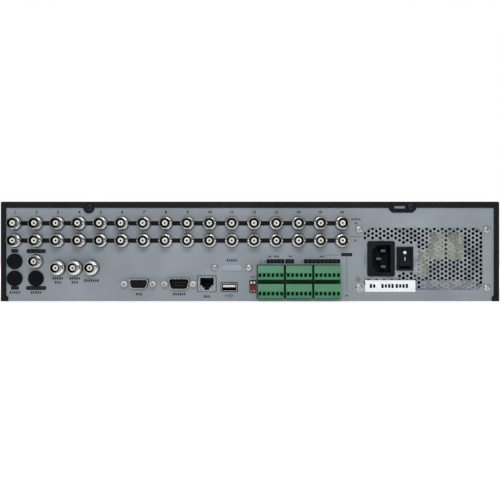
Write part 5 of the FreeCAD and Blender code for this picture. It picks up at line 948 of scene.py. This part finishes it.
def power_icon():
    """The usual broken ring and stroke on the power button."""
    mesh = bmesh.new()
    low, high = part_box("power_button")
    x, z = (low.x + high.x) / 2, (low.z + high.z) / 2
    outer, inner, sides = 2.9 * MM, 2.35 * MM, 20
    for i in range(sides):
        pair = [math.radians(90 + 38 + (360 - 76) * k / sides) for k in (i, i + 1)]
        points = [(x + r * math.cos(t), z + r * math.sin(t)) for r, t in
                  ((inner, pair[0]), (outer, pair[0]), (outer, pair[1]), (inner, pair[1]))]
        slab(mesh, points, 0.0, facing=-1)
    bar(mesh, x, z + 1.9 * MM, 0.55 * MM, 2.8 * MM, 0.0, -1)
    piece("power_icon", draped(mesh, "power_button", FRONT), "label_paper", "white_ink", "power_button")


# ================================================================ studio
def studio():
    floor = bmesh.new()
    corners = ((-1, -1), (1, -1), (1, 1), (-1, 1))
    places = [(x * FLOOR_HALF, y * FLOOR_HALF, -FLOOR_DROP) for x, y in corners]
    floor.faces.new([floor.verts.new(place) for place in places])
    data = bpy.data.meshes.new("floor")
    floor.to_mesh(data)
    floor.free()
    ground = bpy.data.objects.new("floor", data)
    bpy.context.scene.collection.objects.link(ground)
    tree = Tree("pale_floor")
    cloud = tree.noise(1.5, 3.0)
    colour = tree.ramp(cloud, [(0.3, tone(247, 248, 249)), (0.7, tone(251, 252, 253))])
    tree.set(Base_Color=colour, Roughness=0.9)
    tree.shader.inputs["Emission Color"].default_value = (1, 1, 1, 1)
    tree.shader.inputs["Emission Strength"].default_value = FLOOR_GLOW
    data.materials.append(tree.material)


def sky():
    """Plain white to the camera, and a soft gradient from the horizon to the zenith to the surfaces."""
    world = bpy.data.worlds.new("studio")
    bpy.context.scene.world = world
    world.use_nodes = True
    nodes, links = world.node_tree.nodes, world.node_tree.links
    nodes.clear()
    place = nodes.new("ShaderNodeTexCoord").outputs["Generated"]
    split = nodes.new("ShaderNodeSeparateXYZ")
    height = nodes.new("ShaderNodeMapRange")
    height.inputs["From Min"].default_value = -1.0
    ramp = nodes.new("ShaderNodeValToRGB")
    light, page = nodes.new("ShaderNodeBackground"), nodes.new("ShaderNodeBackground")
    ray, mix = nodes.new("ShaderNodeLightPath"), nodes.new("ShaderNodeMixShader")
    out = nodes.new("ShaderNodeOutputWorld")
    elements = ramp.color_ramp.elements
    while len(elements) < len(SKY):
        elements.new(0.5)
    for element, (position, level) in zip(elements, SKY):
        element.position = position
        element.color = (level, level, level * 1.02, 1)
    page.inputs["Color"].default_value = (1, 1, 1, 1)
    page.inputs["Strength"].default_value = PAGE_WHITE
    links.new(place, split.inputs[0])
    links.new(split.outputs["Z"], height.inputs["Value"])
    links.new(height.outputs["Result"], ramp.inputs["Fac"])
    links.new(ramp.outputs["Color"], light.inputs["Color"])
    links.new(ray.outputs["Is Camera Ray"], mix.inputs[0])
    links.new(light.outputs[0], mix.inputs[1])
    links.new(page.outputs[0], mix.inputs[2])
    links.new(mix.outputs[0], out.inputs[0])


def lamp(name, place, target, size, power):
    data = bpy.data.lights.new(name, "AREA")
    data.shape = "RECTANGLE"
    data.size, data.size_y = size
    data.energy = power
    made = bpy.data.objects.new(name, data)
    bpy.context.scene.collection.objects.link(made)
    made.location = place
    made.rotation_euler = (Vector(target) - Vector(place)).to_track_quat("-Z", "Y").to_euler()


def camera():
    data = bpy.data.cameras.new("camera")
    data.lens = LENS
    made = bpy.data.objects.new("camera", data)
    bpy.context.scene.collection.objects.link(made)
    made.location = (0, PANEL_FACE + CAMERA_DISTANCE, CAMERA_HEIGHT)
    made.rotation_euler = (math.radians(90), 0, math.radians(180))
    bpy.context.scene.camera = made


dress_nodes()
shade_bores()
socket_collars()
shade_supply()
windings()
channel_numbers()
channel_bars()
captions()
port_symbol()
audio_tags()
terminal_print()
row_line()
earth_symbol()
label_print()
lock_rim()
rocker_marks()
dip_marks()
lan_contacts()
usb_contacts()
front_print()
key_icons()
power_icon()
studio()
sky()
for values in LAMPS:
    lamp(*values)
camera()
bpy.context.scene.view_settings.view_transform = "Standard"
